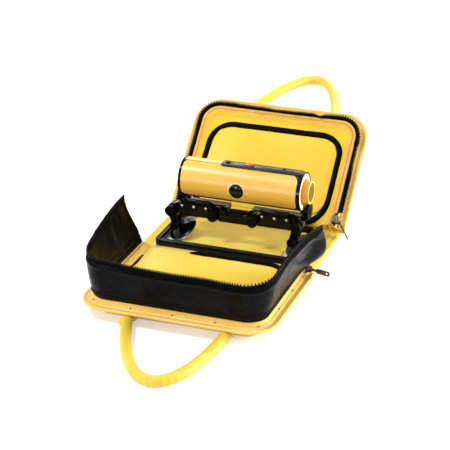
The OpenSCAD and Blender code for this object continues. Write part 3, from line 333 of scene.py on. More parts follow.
class Material:
    """A node material, built step by step. Noise over the roughness replaces its number
    where nodes are read. Stops are {place: hex code or grey}, distances millimetres."""

    def __init__(self, name, rough, shine=0.5, **sockets):
        self.mat = bpy.data.materials.new(name)
        self.mat.use_nodes = True
        self.nodes, self.links = self.mat.node_tree.nodes, self.mat.node_tree.links
        self.shader = self.nodes["Principled BSDF"]
        sockets.update(Roughness=rough, Specular_IOR_Level=shine)
        for key, value in sockets.items():
            self.shader.inputs[key.replace("_", " ")].default_value = value
        self.coord = self.nodes.new("ShaderNodeTexCoord").outputs["Object"]
        self.height = None

    def link(self, source, socket):
        self.links.new(source, socket)

    def add(self, kind, **values):
        node = self.nodes.new("ShaderNode" + kind)
        for key, value in values.items():
            if key in node.inputs:
                node.inputs[key].default_value = value
            else:
                setattr(node, key, value)
        return node

    def texture(self, kind, output, **values):
        node = self.add("Tex" + kind, **values)
        self.link(self.coord, node.inputs["Vector"])
        return node.outputs[output]

    def noise(self, scale, detail, rough=0.55):
        return self.texture("Noise", "Fac", Scale=scale, Detail=detail, Roughness=rough)

    def ramp(self, fac, stops):
        node = self.add("ValToRGB")
        ramp = node.color_ramp
        while len(ramp.elements) < len(stops):
            ramp.elements.new(0.5)
        for element, (place, value) in zip(ramp.elements, stops.items()):
            element.position = place
            element.color = linear(value) if isinstance(value, str) else (value, value, value, 1)
        self.link(fac, node.inputs["Fac"])
        return node.outputs["Color"]

    def math(self, operation, a, b):
        node = self.add("Math", operation=operation)
        for socket, value in zip(node.inputs, (a, b)):
            if isinstance(value, (int, float)):
                socket.default_value = value
            else:
                self.link(value, socket)
        return node.outputs["Value"]

    def vector(self, operation, a, b=(0, 0, 0)):
        node = self.add("VectorMath", operation=operation)
        self.link(a, node.inputs[0])
        node.inputs[1].default_value = b
        return node.outputs["Value" if operation == "LENGTH" else "Vector"]

    def mix(self, share, colour, code):
        """The colour where the share is 0, the plain code where it is 1."""
        node = self.add("Mix", data_type="RGBA")
        self.link(share, node.inputs["Factor"])
        self.link(colour, node.inputs[MIX_A])
        node.inputs[MIX_B].default_value = linear(code)
        return node.outputs[MIX_RESULT]

    def colour(self, source):
        self.link(source, self.shader.inputs["Base Color"])
        return self

    def tone(self, scale, detail, stops):
        """Colour that wanders between the stops."""
        return self.colour(self.ramp(self.noise(scale, detail), stops))

    def polish(self, scale, detail, least, most, places=(0.3, 0.7), rough=0.55):
        """Roughness that wanders between two values."""
        source = self.ramp(self.noise(scale, detail, rough), dict(zip(places, (least, most))))
        self.link(source, self.shader.inputs["Roughness"])
        return self

    def bump(self, height, strength, distance):
        """Adds a bump layer over the ones already there."""
        node = self.add("Bump", Strength=strength, Distance=distance * MM)
        self.link(height, node.inputs["Height"])
        if self.height:
            self.link(self.height, node.inputs["Normal"])
        self.height = node.outputs["Normal"]
        self.link(self.height, self.shader.inputs["Normal"])
        return self

    def grain(self, scale, detail, strength, distance):
        return self.bump(self.noise(scale, detail), strength, distance)

    def pebbles(self, scale, strength, distance):
        return self.bump(self.texture("Voronoi", "Distance", Scale=scale, feature="F1"),
                         strength, distance)

    def cracks(self, scale, width, strength, distance):
        """Creases between leather's pebbles."""
        edges = self.texture("Voronoi", "Distance", Scale=scale, feature="DISTANCE_TO_EDGE")
        return self.bump(self.ramp(edges, {0.0: 0.0, width: 1.0}), strength, distance)

    def weave(self, scale, strength):
        """Two crossed sets of threads."""
        bands = [self.texture("Wave", "Fac", Scale=scale / 20, wave_type="BANDS",
                              bands_direction=direction) for direction in "XY"]
        return self.bump(self.math("MULTIPLY", *bands), strength, 0.2)


def thread(name, code, pale):
    """Twisted sewing thread or piping."""
    return (Material(name, 0.6, Sheen_Weight=0.1)
            .tone(900, 2, {0.3: code, 0.8: pale}).grain(2500, 2, 0.3, 0.1))


def gloss_black(name, rough, shine):
    """Polished black plastic with faint handling marks."""
    return (Material(name, rough, shine).tone(50, 3, {0.3: "#050506", 0.75: "#0A0A0C"})
            .polish(35, 5, rough * 0.7, rough * 1.5, (0.35, 0.7), 0.65)
            .grain(700, 2, 0.03, 0.1))


def hidden(name, code, pale, rough, metal=0.0):
    """Pieces that the housing hides."""
    return (Material(name, rough, Metallic=metal)
            .tone(120, 3, {0.3: code, 0.7: pale}).grain(700, 2, 0.1, 0.1))


def lacquer(name, mask=None):
    """Lacquered warm yellow of the cleaner's panels, black where a mask is 1."""
    m = Material(name, 0.34, Coat_Weight=0.25, Coat_Roughness=0.3)
    paint = m.ramp(m.noise(14, 2), {0.3: "#FAC250", 0.55: "#FCCA58", 0.8: "#FED268"})
    if mask:
        paint = m.mix(mask(m), paint, "#070708")
    return m.colour(paint).polish(40, 4, 0.3, 0.4).grain(300, 2, 0.02, 0.3)


def corner_mask(m):
    """1 past an arc that rounds the front panel's upper right corner, on its own surface."""
    radius = 22
    panel_top = BODY_R * radians(77)
    centre = BODY_AXIS * MM
    split = m.add("SeparateXYZ")
    m.link(m.coord, split.inputs["Vector"])
    x, y, z = split.outputs
    rise, reach = m.math("SUBTRACT", z, centre.z), m.math("SUBTRACT", centre.y, y)
    arc = m.math("MULTIPLY", m.math("ARCTAN2", rise, reach), BODY_R)
    squares = []
    for along, end in ((m.math("DIVIDE", x, MM), high("front_panel").x - 1.0),
                       (arc, panel_top - 0.5)):
        past = m.math("MAXIMUM", m.math("SUBTRACT", along, end - radius), 0.0)
        squares.append(m.math("MULTIPLY", past, past))
    distance = m.math("SQRT", m.math("ADD", *squares), 0.0)
    return m.ramp(m.math("DIVIDE", distance, 2 * radius), {0.495: 0.0, 0.505: 1.0})


def port_plastic_and_shade():
    """Plastic of the hose end, by radius: deep bore, pale rims, and between them a darker orange
    ring that is painted shade round the spigot's foot.
    """
    span = 40
    # The darker orange out to 22.9 mm, round the spigot's foot, is painted shade of a recess
    tones_and_shade = {0: "#E8B84C", 17.7: "#F2C45A", 18.1: "#FDE38A", 20.1: "#FDE38A", 20.4: "#F2AA3C",
             22.4: "#DE9430", 22.9: "#FAEEB4"}
    m = Material("port_plastic_and_shade", 0.35)
    across = m.vector("MULTIPLY", m.vector("SUBTRACT", m.coord, BODY_AXIS * MM), (0, 1, 1))
    share = m.math("DIVIDE", m.vector("LENGTH", across), span * MM)
    m.colour(m.ramp(share, {radius / span: code for radius, code in tones_and_shade.items()}))
    return m.grain(900, 2, 0.05, 0.1)


# Soft moulded shell with a smooth, faintly grained skin
SKIN = (Material("moulded_skin", 0.42, 0.4, Sheen_Weight=0.1)
        .tone(9, 2, {0.3: "#F6C862", 0.55: "#FAD26C", 0.75: "#FBDA7C"})
        .polish(60, 3, 0.36, 0.5).pebbles(900, 0.10, 0.15).grain(1500, 2, 0.12, 0.12))
# Fine woven lining in lemon yellow; over the padded panels it is stretched and paler
LINING = (Material("lining_cloth", 0.6, 0.3, Sheen_Weight=0.2, Sheen_Roughness=0.5)
          .tone(11, 3, {0.3: "#F6CA30", 0.52: "#F9D23A", 0.75: "#FBD94C"})
          .weave(1300, 0.22).grain(120, 3, 0.12, 0.5))
PAD = (Material("pad_cloth", 0.55, 0.3, Sheen_Weight=0.25, Sheen_Roughness=0.45)
       .tone(7, 2, {0.3: "#F9CF36", 0.5: "#FBD642", 0.72: "#FDDD58"})
       .weave(1300, 0.2).grain(70, 3, 0.14, 0.8))
# The puckered strip between the rim and the lining
LEDGE = (Material("ledge_cloth", 0.5, 0.35, Sheen_Weight=0.15)
         .tone(40, 3, {0.3: "#EBB044", 0.55: "#F4C052", 0.75: "#F8CB66"})
         .grain(260, 3, 0.25, 0.5))
# Grained black leather
LEATHER = (Material("black_leather", 0.2, 0.08)
           .tone(45, 4, {0.35: "#020203", 0.6: "#050506", 0.8: "#0B0B0D"})
           .polish(90, 4, 0.16, 0.28).cracks(520, 0.25, 0.3, 0.25)
           .grain(900, 3, 0.15, 0.15).grain(65, 3, 0.12, 1.0))
# Woven black tape, moulded zip teeth, and the trim rings' ribbed binding
TAPE = (Material("zip_tape", 0.75, 0.03)
        .tone(300, 2, {0.3: "#060606", 0.7: "#0B0B0C"}).weave(2400, 0.5))
TEETH = (Material("zip_plastic", 0.28, 0.08)
         .tone(500, 2, {0.3: "#070708", 0.7: "#101012"}).grain(1500, 2, 0.1, 0.1))
BINDING = (Material("binding", 0.5, 0.03)
           .tone(70, 3, {0.3: "#040404", 0.7: "#080808"}).weave(1800, 0.35))
# Lemon leatherette stretched over a padded handle
HANDLE = (Material("handle_skin", 0.4, 0.42, Coat_Weight=0.12, Coat_Roughness=0.3)
          .tone(26, 3, {0.3: "#E8C83A", 0.55: "#EED046", 0.75: "#F3DA60"})
          .polish(120, 3, 0.32, 0.5).pebbles(750, 0.16, 0.2).grain(160, 3, 0.15, 0.5))
YELLOW_THREAD = thread("yellow_thread", "#E8CE55", "#F8EDB0")
GREY_THREAD = thread("grey_thread", "#8E8C86", "#B4B2AC")
OLIVE = thread("olive_piping", "#55531F", "#6E6C30")
# The crease tube's darker orange is painted shadow of the ledge's crease
CREASE = thread("crease_shadow_tube", "#C98A22", "#DDA238")
GLOSS = gloss_black("gloss_black", 0.16, 0.14)
STRIP = gloss_black("strip_black", 0.2, 0.5)
# Moulded black plastic with a fine spark finish, and matt black rubber
SATIN = (Material("satin_black", 0.3, 0.08).tone(80, 3, {0.3: "#060606", 0.75: "#0C0C0D"})
         .polish(160, 3, 0.3, 0.46).grain(2600, 2, 0.12, 0.08))
RUBBER = (Material("rubber", 0.38, 0.12).tone(90, 3, {0.3: "#060606", 0.75: "#0D0D0E"})
          .polish(60, 4, 0.28, 0.48).grain(1200, 3, 0.15, 0.1))
BODY = lacquer("gloss_yellow")
FRONT = lacquer("front_lacquer", corner_mask)
PORT = port_plastic_and_shade()
# Pale glossy laminate of the tray's base
BASE = (Material("base_laminate", 0.16, 0.55, Coat_Weight=0.4, Coat_Roughness=0.05)
        .tone(18, 4, {0.3: "#BDBBBE", 0.6: "#CFCDD0", 0.8: "#DAD8DA"})
        .polish(45, 4, 0.12, 0.28, (0.3, 0.75)).grain(900, 2, 0.02, 0.1))
# Metals: turned steel, the zips' gunmetal plating, and dull brass rivets
STEEL = (Material("bright_steel", 0.2, Metallic=1.0)
         .tone(140, 3, {0.3: "#B9B9B8", 0.7: "#DADAD8"})
         .polish(400, 3, 0.14, 0.3).grain(2200, 2, 0.06, 0.05))
GUNMETAL = (Material("dark_metal", 0.28, Metallic=1.0)
            .tone(200, 3, {0.3: "#3C3B39", 0.7: "#6B6965"})
            .polish(300, 3, 0.2, 0.42).grain(1800, 2, 0.08, 0.05))
RIVET = (Material("rivet_metal", 0.4, Metallic=0.9)
         .tone(500, 2, {0.3: "#4B3A1C", 0.7: "#7A6234"}).grain(1500, 2, 0.1, 0.05))
# Smoked glossy dome, and the red rocker switch
LENS = (Material("lens_glass", 0.05, 0.35)
        .tone(90, 2, {0.3: "#050506", 0.8: "#0A0A0C"}).polish(60, 3, 0.04, 0.12))
RED = (Material("switch_red", 0.3)
       .tone(90, 2, {0.3: "#A93A26", 0.7: "#C34D36"}).grain(900, 2, 0.05, 0.1))


# ---- CAD nodes that stay
EDGE_R = 0.5
WELD_GAP = 0.01
NODE_MATERIALS = {
    SKIN: "lower_shell lid_shell front_lugs rear_lugs",
    RIVET: "lower_rivets lid_rivets",
    BINDING: "lower_trim lid_trim",
    GUNMETAL: "lower_slider lower_pull lid_slider lid_pull",
    RUBBER: "spine_feet",
    BASE: "tray_base",
    GLOSS: "tray_frame left_arm right_arm left_leg right_leg cradle left_cap body_tube "
           "left_foot right_foot",
    STRIP: "control_strip",
    SATIN: "left_ankle_knob left_elbow_knob left_hip_knob left_tilt_knob right_ankle_knob "
           "right_elbow_knob right_hip_knob right_tilt_knob lamp_button",
    STEEL: "left_spacer right_spacer left_screws right_screws",
    BODY: "rear_panel",
    FRONT: "front_panel",
    PORT: "hose_port",
    LENS: "window",
    RED: "power_switch",
    hidden("motor_steel", "#8D8F92", "#A9ABAE", 0.35, 0.9): "motor",
    hidden("inner_plastic", "#8C8C90", "#A8A8AC", 0.45): "impeller dust_cup",
    hidden("filter_cloth", "#D9D8D2", "#EAE9E3", 0.8): "filter",
    hidden("cells", "#2E5486", "#3E68A0", 0.4): "battery",
    hidden("board", "#145A2C", "#1D7A3E", 0.5): "circuit_board",
}
SOFT_EDGED = ("left_arm right_arm left_leg right_leg cradle power_switch control_strip "
              "tray_base left_foot right_foot lower_pull lid_pull lower_slider lid_slider "
              "front_lugs rear_lugs")


def soften_edges(node):
    """Rounds a CAD node's hard edges a little, as moulded plastic has them."""
    weld = node.modifiers.new("weld", "WELD")
    weld.merge_threshold = WELD_GAP * MM
    bevel = node.modifiers.new("bevel", "BEVEL")
    bevel.width = EDGE_R * MM
    bevel.segments = 2
    bevel.limit_method = "ANGLE"
    bevel.angle_limit = radians(40)


for material, names in NODE_MATERIALS.items():
    for name in names.split():
        slots = frame["nodes"][name].data.materials
        slots.clear()
        slots.append(material.mat)
for name in SOFT_EDGED.split():
    soften_edges(frame["nodes"][name])


# ---- lining of a half
# Sections of the cloth from the rim's top down to the trim ring: (inset, height)
LEDGE_SECTION = [(18.7, 14.1), (19.3, 14.8), (21.0, 15.3), (23.2, 15.3), (24.8, 14.7),
                 (25.6, 13.7), (26.1, 14.3), (27.4, 15.0), (29.0, 15.1), (30.4, 14.7),
                 (31.2, 13.9), (31.8, 13.2)]
LINING_SECTION = [(31.0, 13.3), (31.6, 13.9), (32.8, 13.3), (34.6, 11.5), (36.6, 9.7),
                  (38.8, 8.4), (41.0, 7.7), (43.5, 7.35), (45.5, 6.9)]


def strip(name, half, depth, section, start, thick, pucker, seed):
    """A sheet of cloth that follows the rim, puckered across its middle."""
    first = section[0][0]
    rings = []
    for s in stations(path_length(depth, first, start), 3.2):
        x, v, a = path_at(depth, first, start, s)
        top, under = [], []
        for j, (inset, height) in enumerate(section):
            loose = pucker * sin(PI * j / (len(section) - 1))
            ripple = loose * (0.9 * wave(s / 11, inset / 9, 0, seed)
                              + 0.5 * wave(s / 4.6, inset / 5, 3, seed))
            o = first - inset + loose * 0.6 * wave(s / 23, 0, 5, seed)
            spot = beside(x, v, a, o)
            top.append(half(*spot, height + ripple))
            under.append(half(*spot, height + ripple - thick))
        rings.append(top + under[::-1])
    return joined(name, [rings])


def crease_shadow_tube(prefix, half, depth, body):
    """Thin darker tube that lies in the ledge's crease: painted shadow of the crease."""
    start = 8
    run = path_length(depth, CREASE_INSET, start)
    line = []
    for s in stations(run, 2.4):
        spot = beside(*path_at(depth, CREASE_INSET, start, s), 0.35 * wave(s / 9, 0, 0, 3))
        line.append(half(*spot, 14.2 + 0.35 * wave(s / 6, 1, 0, 3)))
    rings = tube_rings(line, lambda share, a: 0.95 + 0.25 * wave(share * run / 4, a, 0, 4), 8)
    dress(joined(f"{prefix}_crease", [rings]), body, CREASE)


def lining_floor(prefix, half, depth, body, near):
    """Flat lining under ring and panel; its near edge dips toward the fold."""
    rows = []
    xs = [(HALF_W - FLOOR_INSET) * (j / 30 - 1) for j in range(61)]
    for k in range(41):
        v = near + (depth - FLOOR_INSET - near) * k / 40
        h = LINING_H + 0.3 - 3.0 * (1 - smooth(k / 2.5))
        rows.append([half(x, v, h) for x in xs] + [half(x, v, h - 2.0) for x in xs[::-1]])
    flat = dress(joined(f"{prefix}_lining_floor", [rows]), body, LINING)


def lining(prefix, half, depth, body, near, slope):
    """Puckered ledge and sloping band inside the rim, with the floor between them."""
    ledge = strip(f"{prefix}_ledge", half, depth, LEDGE_SECTION, 6.5, 1.0, 0.7, 1)
    dress(ledge, body, LEDGE)
    band = strip(f"{prefix}_lining", half, depth, LINING_SECTION, 7.0, 1.2, 0.4, 2)
    dress(band, body, slope)
    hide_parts(f"{prefix}_liner")
    crease_shadow_tube(prefix, half, depth, body)
    lining_floor(prefix, half, depth, body, near)


# ---- trim rings
# Section of the ring: (inset from its outer edge, height over the lining)
RING_SECTION = [(-1.6, -1.0), (-1.7, 0.8), (-1.0, 1.8), (1.2, 2.6), (4.2, 2.9), (7.2, 2.6),
                (9.4, 1.8), (10.1, 0.8), (10.0, -1.0)]


def near_side(v):
    """1 on the rings' side beside the fold, fading out past it."""
    return smooth((52 - v) / 40)


def lower_drift(x, v):
    """How far the lower ring lies off its true loop, as (x, v, height): its near side is
    pulled to the fold, and its right part there lies higher."""
    right = smooth((x + 70) / 30)
    lift = right * (4.0 + 0.8 * wave(x / 30, 2, 0, 73)) - 2.6 * (1 - right)
    return (0.5 * wave(v / 30, 0, 0, 71) - 3.5 * smooth((-x - 90) / 30),
            near_side(v) * (-5.8 + 0.5 * wave(x / 24, 0, 0, 72)),
            near_side(v) * lift)


def lid_drift(x, v):
    """The lid ring bows outward at the lower left, lies near the fold, and its ends overlap
    on the far side."""
    left = smooth((-x - 85) / 40) * smooth((150 - v) / 90)
    lap = 1.0 if v > LID_D - TRIM_FAR - 12 and LAP[0] < x < LAP[1] else 0.0
    return (-5.5 * left + 0.4 * wave(v / 30, 0, 0, 74),
            0.4 * wave(x / 30, 0, 0, 75) - 7.6 * near_side(v),
            0.9 * lap)


def trim_ring(prefix, half, depth, body, drift):
    """Domed ribbed tape sewn round the padded panel."""
    rings = []
    for x, v, a in outline(HALF_W - TRIM_SIDE, TRIM_FOLD, depth - TRIM_FAR, TRIM_R, 2.4):
        dx, dv, lift = drift(x, v)
        rings.append([half(*beside(x + dx, v + dv, a, -inset),
                           LINING_H + h + (lift if h > 0 else 0)) for inset, h in RING_SECTION])
    obj = dress(joined(f"{prefix}_ring", [rings], loop=True), body, BINDING)
    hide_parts(f"{prefix}_trim")


# ---- padded panels
def inflate(obj, pressure, frames, cap, pinned):
    """Swells a closed mesh with a short cloth simulation; no point moves more than cap."""
    rest = [v.co.copy() for v in obj.data.vertices]
    group = obj.vertex_groups.new(name="held")
    group.add(pinned, 1.0, "REPLACE")
    cloth = obj.modifiers.new("swell", "CLOTH")
    settings = cloth.settings
    settings.vertex_group_mass = "held"
    settings.use_pressure = True
    settings.uniform_pressure_force = pressure
    settings.effector_weights.gravity = 0.0
    settings.mass = 0.25
    settings.tension_stiffness = settings.compression_stiffness = 12
    settings.bending_stiffness = 0.6
    cloth.point_cache.frame_start = 1
    cloth.point_cache.frame_end = frames
    scene = bpy.context.scene
    for f in range(1, frames + 1):
        scene.frame_set(f)
    graph = bpy.context.evaluated_depsgraph_get()
    moved = [v.co.copy() for v in obj.evaluated_get(graph).data.vertices]
    obj.modifiers.remove(cloth)
    obj.vertex_groups.remove(group)
    scene.frame_set(1)
    for vert, a, b in zip(obj.data.vertices, rest, moved):
        d = b - a
        if d.length > cap * MM:
            d = d.normalized() * cap * MM
        vert.co = a + d


def pad(prefix, half, depth, body, seed, spread, v0, rise, cap):
    """Foam panel inside the trim ring, swollen by simulation. With a spread over 1 it lies
    over the ring, widened at the near left, where its corner is sharper."""
    hx = HALF_W - TRIM_SIDE - TRIM_W + spread
    v1 = depth - TRIM_FAR - TRIM_W + spread
    r = TRIM_R - TRIM_W
    near_left_r = 16
    hv, mid = (v1 - v0) / 2, (v0 + v1) / 2
    nx, nv = 52, 36
    verts, faces = [], []

    def squircle(u, t):
        """Maps the unit square to the rounded panel outline."""
        x, y = u * hx, t * hv
        q = near_left_r if spread > 1 and x < 0 and y < 0 else r
        ax, ay = abs(x) - (hx - q), abs(y) - (hv - q)
        if ax > 0 and ay > 0:
            m = max(ax, ay)
            d = hypot(ax, ay)
            ax, ay = ax * m / d, ay * m / d
            x = copysign(hx - q + ax, x)
            y = copysign(hv - q + ay, y)
        return x, y

    for layer in (0, 1):
        for i in range(nv + 1):
            for j in range(nx + 1):
                x, y = squircle(-1 + 2 * j / nx, -1 + 2 * i / nv)
                edge = min(hx - abs(x), hv - abs(y), 60)
                seat = 0.5 + 0.55 * spread * (1 - smooth(edge / 9))
                if spread > 1:
                    x -= smooth((-x - 70) / 50) * (5.0 + 3.0 * smooth((60 - mid - y) / 70))
                    x += 1.0 * wave(y / 26, 0, 1, seed)
                    y += 1.2 * wave(x / 26, 0, 2, seed)
                h = LINING_H + seat + (rise * smooth(edge / 12) if layer else 0)
                verts.append(half(x, mid + y, h))
    row = nx + 1
    top = (nv + 1) * row
    for i in range(nv):
        for j in range(nx):
            a = i * row + j
            faces.append((a, a + row, a + row + 1, a + 1))
            faces.append((top + a, top + a + 1, top + a + row + 1, top + a + row))
    rim = [j for j in range(nx)] + [i * row + nx for i in range(nv)]
    rim += [nv * row + nx - j for j in range(nx)] + [(nv - i) * row for i in range(nv)]
    for a, b in zip(rim, rim[1:] + rim[:1]):
        faces.append((a, b, top + b, top + a))
    obj = new_mesh(f"{prefix}_pad", verts, faces)
    inflate(obj, 2.2, 14, cap, rim + [top + a for a in rim] + list(range(top)))
    axis = (half(0, 0, 1) - half(0, 0, 0)).normalized()
    for vert in obj.data.vertices[top:]:
        p = vert.co / MM
        vert.co += axis * MM * (0.35 * wave(p.x / 16, p.y / 22, p.z / 22, seed)
                                + 0.16 * wave(p.x / 6, p.y / 7, p.z / 7, seed + 3))
    finer = obj.modifiers.new("subdivide", "SUBSURF")
    finer.levels = finer.render_levels = 1
    dress(obj, body, PAD)
    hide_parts(f"{prefix}_pillow")


# ---- leather wall
WALL_LENGTH = path_length(LOWER_D, WALL_INSET, WALL_FROM)


def on_wall(s):
    """Point (x, v) and outward angle of the wall's foot, a distance s along it."""
    return path_at(LOWER_D, WALL_INSET, WALL_FROM, s)


def outward(s):
    """Outward direction of the wall in the row frame."""
    a = on_wall(s)[2]
    return Vector((cos(a), -sin(a), 0))


def rear_share(v):
    """0 along the front wall, 1 at the rear ends of the side walls."""
    return max(0.0, (LOWER_D - WALL_INSET - v) / (LOWER_D - WALL_INSET - WALL_FROM))


def rear_end(q):
    """0 up to the wall's rear ends, rising to 1 at their tips."""
    return smooth((q - REAR_END) / (1 - REAR_END))


def wall_height(v):
    return FRONT_H + REAR_RISE * rear_share(v) ** 0.8


def front_bow(x, v):
    """Outward bow of the front wall's top."""
    if v < LOWER_D - WALL_INSET - 0.01:
        return 0.0
    return FRONT_BOW * (1 - (x / (HALF_W - CORNER_R)) ** 2)


def corner_flare(x, q):
    """Flare of the right front corner, fading along the front and along the side."""
    if x < 0:
        return 0.0
    return CORNER_FLARE * smooth((x / (HALF_W - CORNER_R) - 0.4) / 0.6) * (1 - smooth(2 * q))


def swell(x, q, h):
    """Swelling of the wall's rear ends; the right one starts above the slider."""
    if x < 0:
        return 3 * smooth((q - 0.6) / 0.4) * sin(PI * h ** 2.6)
    above = max(0.0, h - FOOT_H) / (1 - FOOT_H)
    return 22 * rear_end(q) * sin(PI * above ** 0.75)


def wall_lean(x, v):
    """Lean outward of the side walls' tops."""
    q = rear_share(v)
    if x < 0:
        return 29 * q ** 0.45 * (1 - 0.35 * q ** 3)
    return 36 * q ** 1.1


def wall_folds(s, h, x, v):
    """Soft folds of the leather: upright ones on the flaps, broad dents in front."""
    side = smooth(rear_share(v) * 6)
    upright = 1.9 * wave(s / 17, h * 0.8, 0, 4) + 1.0 * wave(s / 7, h * 1.3, 2, 5)
    broad = 1.3 * wave(s / 38, h * 1.6, 1, 6) + 0.5 * wave(s / 12, h * 3.5, 1, 7)
    hold = sin(PI * min(1, h * 1.02)) ** 0.6
    return hold * (upright * side * (1.0 if x < 0 else 0.45) + broad * (1 - 0.6 * side))


def wall_point(s, h, o):
    """Point of the wall at distance s along it, share h of its height, offset o outward."""
    x, v, a = on_wall(s)
    q = rear_share(v)
    tip = rear_end(q) * h
    out = wall_lean(x, v) * h ** 1.1 + (front_bow(x, v) + corner_flare(x, q)) * h
    out += swell(x, q, h) + 2.5 * sin(PI * h) * (1 - q) + wall_folds(s, h, x, v)
    out += (3.5 * tip if x < 0 else 0) + o
    slant = 0.21 * wall_height(v) * h * q ** 4
    droop = (4 if x < 0 else 7) * tip
    return in_lower(*beside(x, v + slant, a, out), RIM_H + wall_height(v) * h - droop)


def outer_offset(mm, height):
    """Offset of the wall's outer face by height: sewn seams, base band, piping, top edge."""
    o = WALL_T / 2 - 0.4 - sum(depth * bell(mm, level, width) for level, depth, width in SEAMS)
    o += 1.2 * bell(height - mm, 7.0, 1.5) - 1.0 * bell(height - mm, 4.0, 1.2)
    o += 0.5 * bell(mm, BASE_ZIP_H, 3.4)
    return o * (1 - 0.35 * smooth((mm / height - 0.94) / 0.06))


def inner_offset(mm, height):
    """Offset of the wall's inner face: two hems, and a thinner top and foot."""
    hem = sum(0.9 * bell(mm, level, 1.1) for level in HEM_HEIGHTS)
    hem -= 0.5 * smooth((8.5 - mm) / 2)
    return -WALL_T / 2 + 0.5 + hem + 0.9 * smooth((mm / height - 0.9) / 0.1)


def wall():
    """The leather wall itself; its left end is cut a little ragged low down."""
    levels = 44
    rings = []
    for s in stations(WALL_LENGTH, 2.6):
        height = wall_height(on_wall(s)[1])
        outer, inner = [], []
        for j in range(levels + 1):
            h = j / levels
            jag = Vector()
            if s == 0:
                ragged = abs(wave(h * 13, 0, 0, 14)) ** 0.4
                jag.y = 3.4 * smooth((0.42 - h) / 0.05) * ragged
            outer.append(wall_point(s, h, outer_offset(h * height, height)) + jag)
            inner.append(wall_point(s, h, inner_offset(h * height, height)) + jag)
        rings.append(outer + inner[::-1])
    obj = dress(joined("side_wall", [rings]), "lower_case", LEATHER)
    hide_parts("gusset")


def tooth(p, along, up, out, w, h, t):
    """Rings of one moulded zip tooth: a waisted block with a rounded head."""
    loops = []
    for level, sw, st in ((0.0, 0.75, 0.8), (0.35, 1.0, 1.0), (0.75, 1.0, 1.0), (1.0, 0.62, 0.7)):
        q = p + up * (h * level)
        a, b = along * (w * sw / 2), out * (t * st / 2)
        loops.append([q - a - b, q + a - b, q + a + b, q - a + b])
    return loops


def spaced(length, pitch):
    """Distances of evenly spaced teeth along a zip."""
    number = int(length / pitch)
    return [length * (k + 0.5) / number for k in range(number)]


def tape(name, point, length, section):
    """Mesh of a zip's tape; point lays the section's (height, offset) at a distance."""
    return joined(name, [[[point(s, z, o) for z, o in section]
                          for s in stations(length, TAPE_STEP)]])


def wall_zip():
    """Tape and teeth along the top of the wall, and the zip of its base band."""
    def top(s, z, o):
        w = 0.9 * wave(s / 15, 0, 0, 8) + 0.5 * wave(s / 6, 0, 0, 9)
        return wall_point(s, 1.0, o + w * (0.3 + z / 9)) + UP * z

    section = ((-5.5, 1.9), (0.5, 1.5), (TAPE_H, 0.65), (TAPE_H + 0.4, 0), (TAPE_H, -0.65),
               (0.5, -1.4), (-5.5, -1.9))
    obj = dress(tape("side_wall_tape", top, WALL_LENGTH, section), "lower_case", TAPE)
    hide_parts("gusset_zip")
    teeth, coil = [], []
    for s in spaced(WALL_LENGTH, TOOTH_PITCH):
        along = (top(s + 1, 4, 0) - top(s - 1, 4, 0)).normalized()
        teeth.append(tooth(top(s, TAPE_H - 1.8, 0), along, UP, outward(s), 2.3, 5.0, 3.2))
    dress(joined("side_wall_teeth", teeth), "lower_case", TEETH)
    for s in spaced(WALL_LENGTH, COIL_PITCH):
        h = BASE_ZIP_H / wall_height(on_wall(s)[1])
        p = wall_point(s, h, WALL_T / 2 + 0.1)
        along = (wall_point(s + 1, h, 0) - wall_point(s - 1, h, 0)).normalized()
        coil.append(tooth(p - UP * 2.6, along, UP, outward(s), 1.4, 5.2, 2.0))
    dress(joined("base_zip_teeth", coil), "lower_case", TEETH)


def flap_stitching():
    """Two pale rows of stitches along the top of the right flap."""
    groups = []
    begin, last = WALL_LENGTH * 0.86, 139
    for drop in (9.6, 12.6):
        points, normals = [], []
        for k in range(last + 1):
            s = begin + (WALL_LENGTH - 3 - begin) * k / last
            h = 1 - drop / wall_height(on_wall(s)[1])
            points.append(wall_point(s, h, WALL_T / 2 - 0.15))
            normals.append(outward(s))
        groups += stitches(points, normals, 4.4, 2.2, 0.24)
    dress(joined("flap_stitches", groups), "lower_case", GREY_THREAD)


# ---- zip on the lid
LID_ZIP_LENGTH = path_length(LID_D, WALL_INSET, WALL_FROM)


def lid_zip_frame(s):
    """Point (x, v), outward angle, lean in radians and flatness (0 to 1) of the lid's zip.
    It leans outward, lies flat along the right side, and stands upright in its last part."""
    x, v, a = path_at(LID_D, WALL_INSET, WALL_FROM, s)
    loose = smooth((v - 120) / 90)
    sway = (0.7 + 1.1 * loose) * wave(s / 30, 0, 0, 11) + 0.4 * wave(s / 11, 0, 0, 12)
    k = max(i for i, (place, _) in enumerate(ZIP_LEAN[:-1]) if place <= s)
    (s0, lean0), (s1, lean1) = ZIP_LEAN[k], ZIP_LEAN[k + 1]
    lean = radians(lean0 + (lean1 - lean0) * smooth((s - s0) / (s1 - s0)))
    lean *= smooth((LID_ZIP_LENGTH - s - 20) / 9)
    flat = smooth((lean - 1.2) / 0.25)
    lean += 0.13 * sway * (1 - flat) - 0.45 * bell(x, KINK, 7) * loose
    return x, v, a, lean, flat


def lid_zip_point(s, z, o):
    """Point of the lid's zip, z up its tape and o across it; narrower where it lies flat."""
    x, v, a, lean, flat = lid_zip_frame(s)
    z *= 1 - 0.36 * flat * smooth((v - 105) / 30)
    o *= 1 - 0.3 * flat
    out = 0.9 * smooth(lean) + z * sin(lean) + o * cos(lean)
    up = RIM_H + 0.4 - 0.2 * flat + z * cos(lean) - o * sin(lean)
    return in_lid(*beside(x, v, a, out), up)


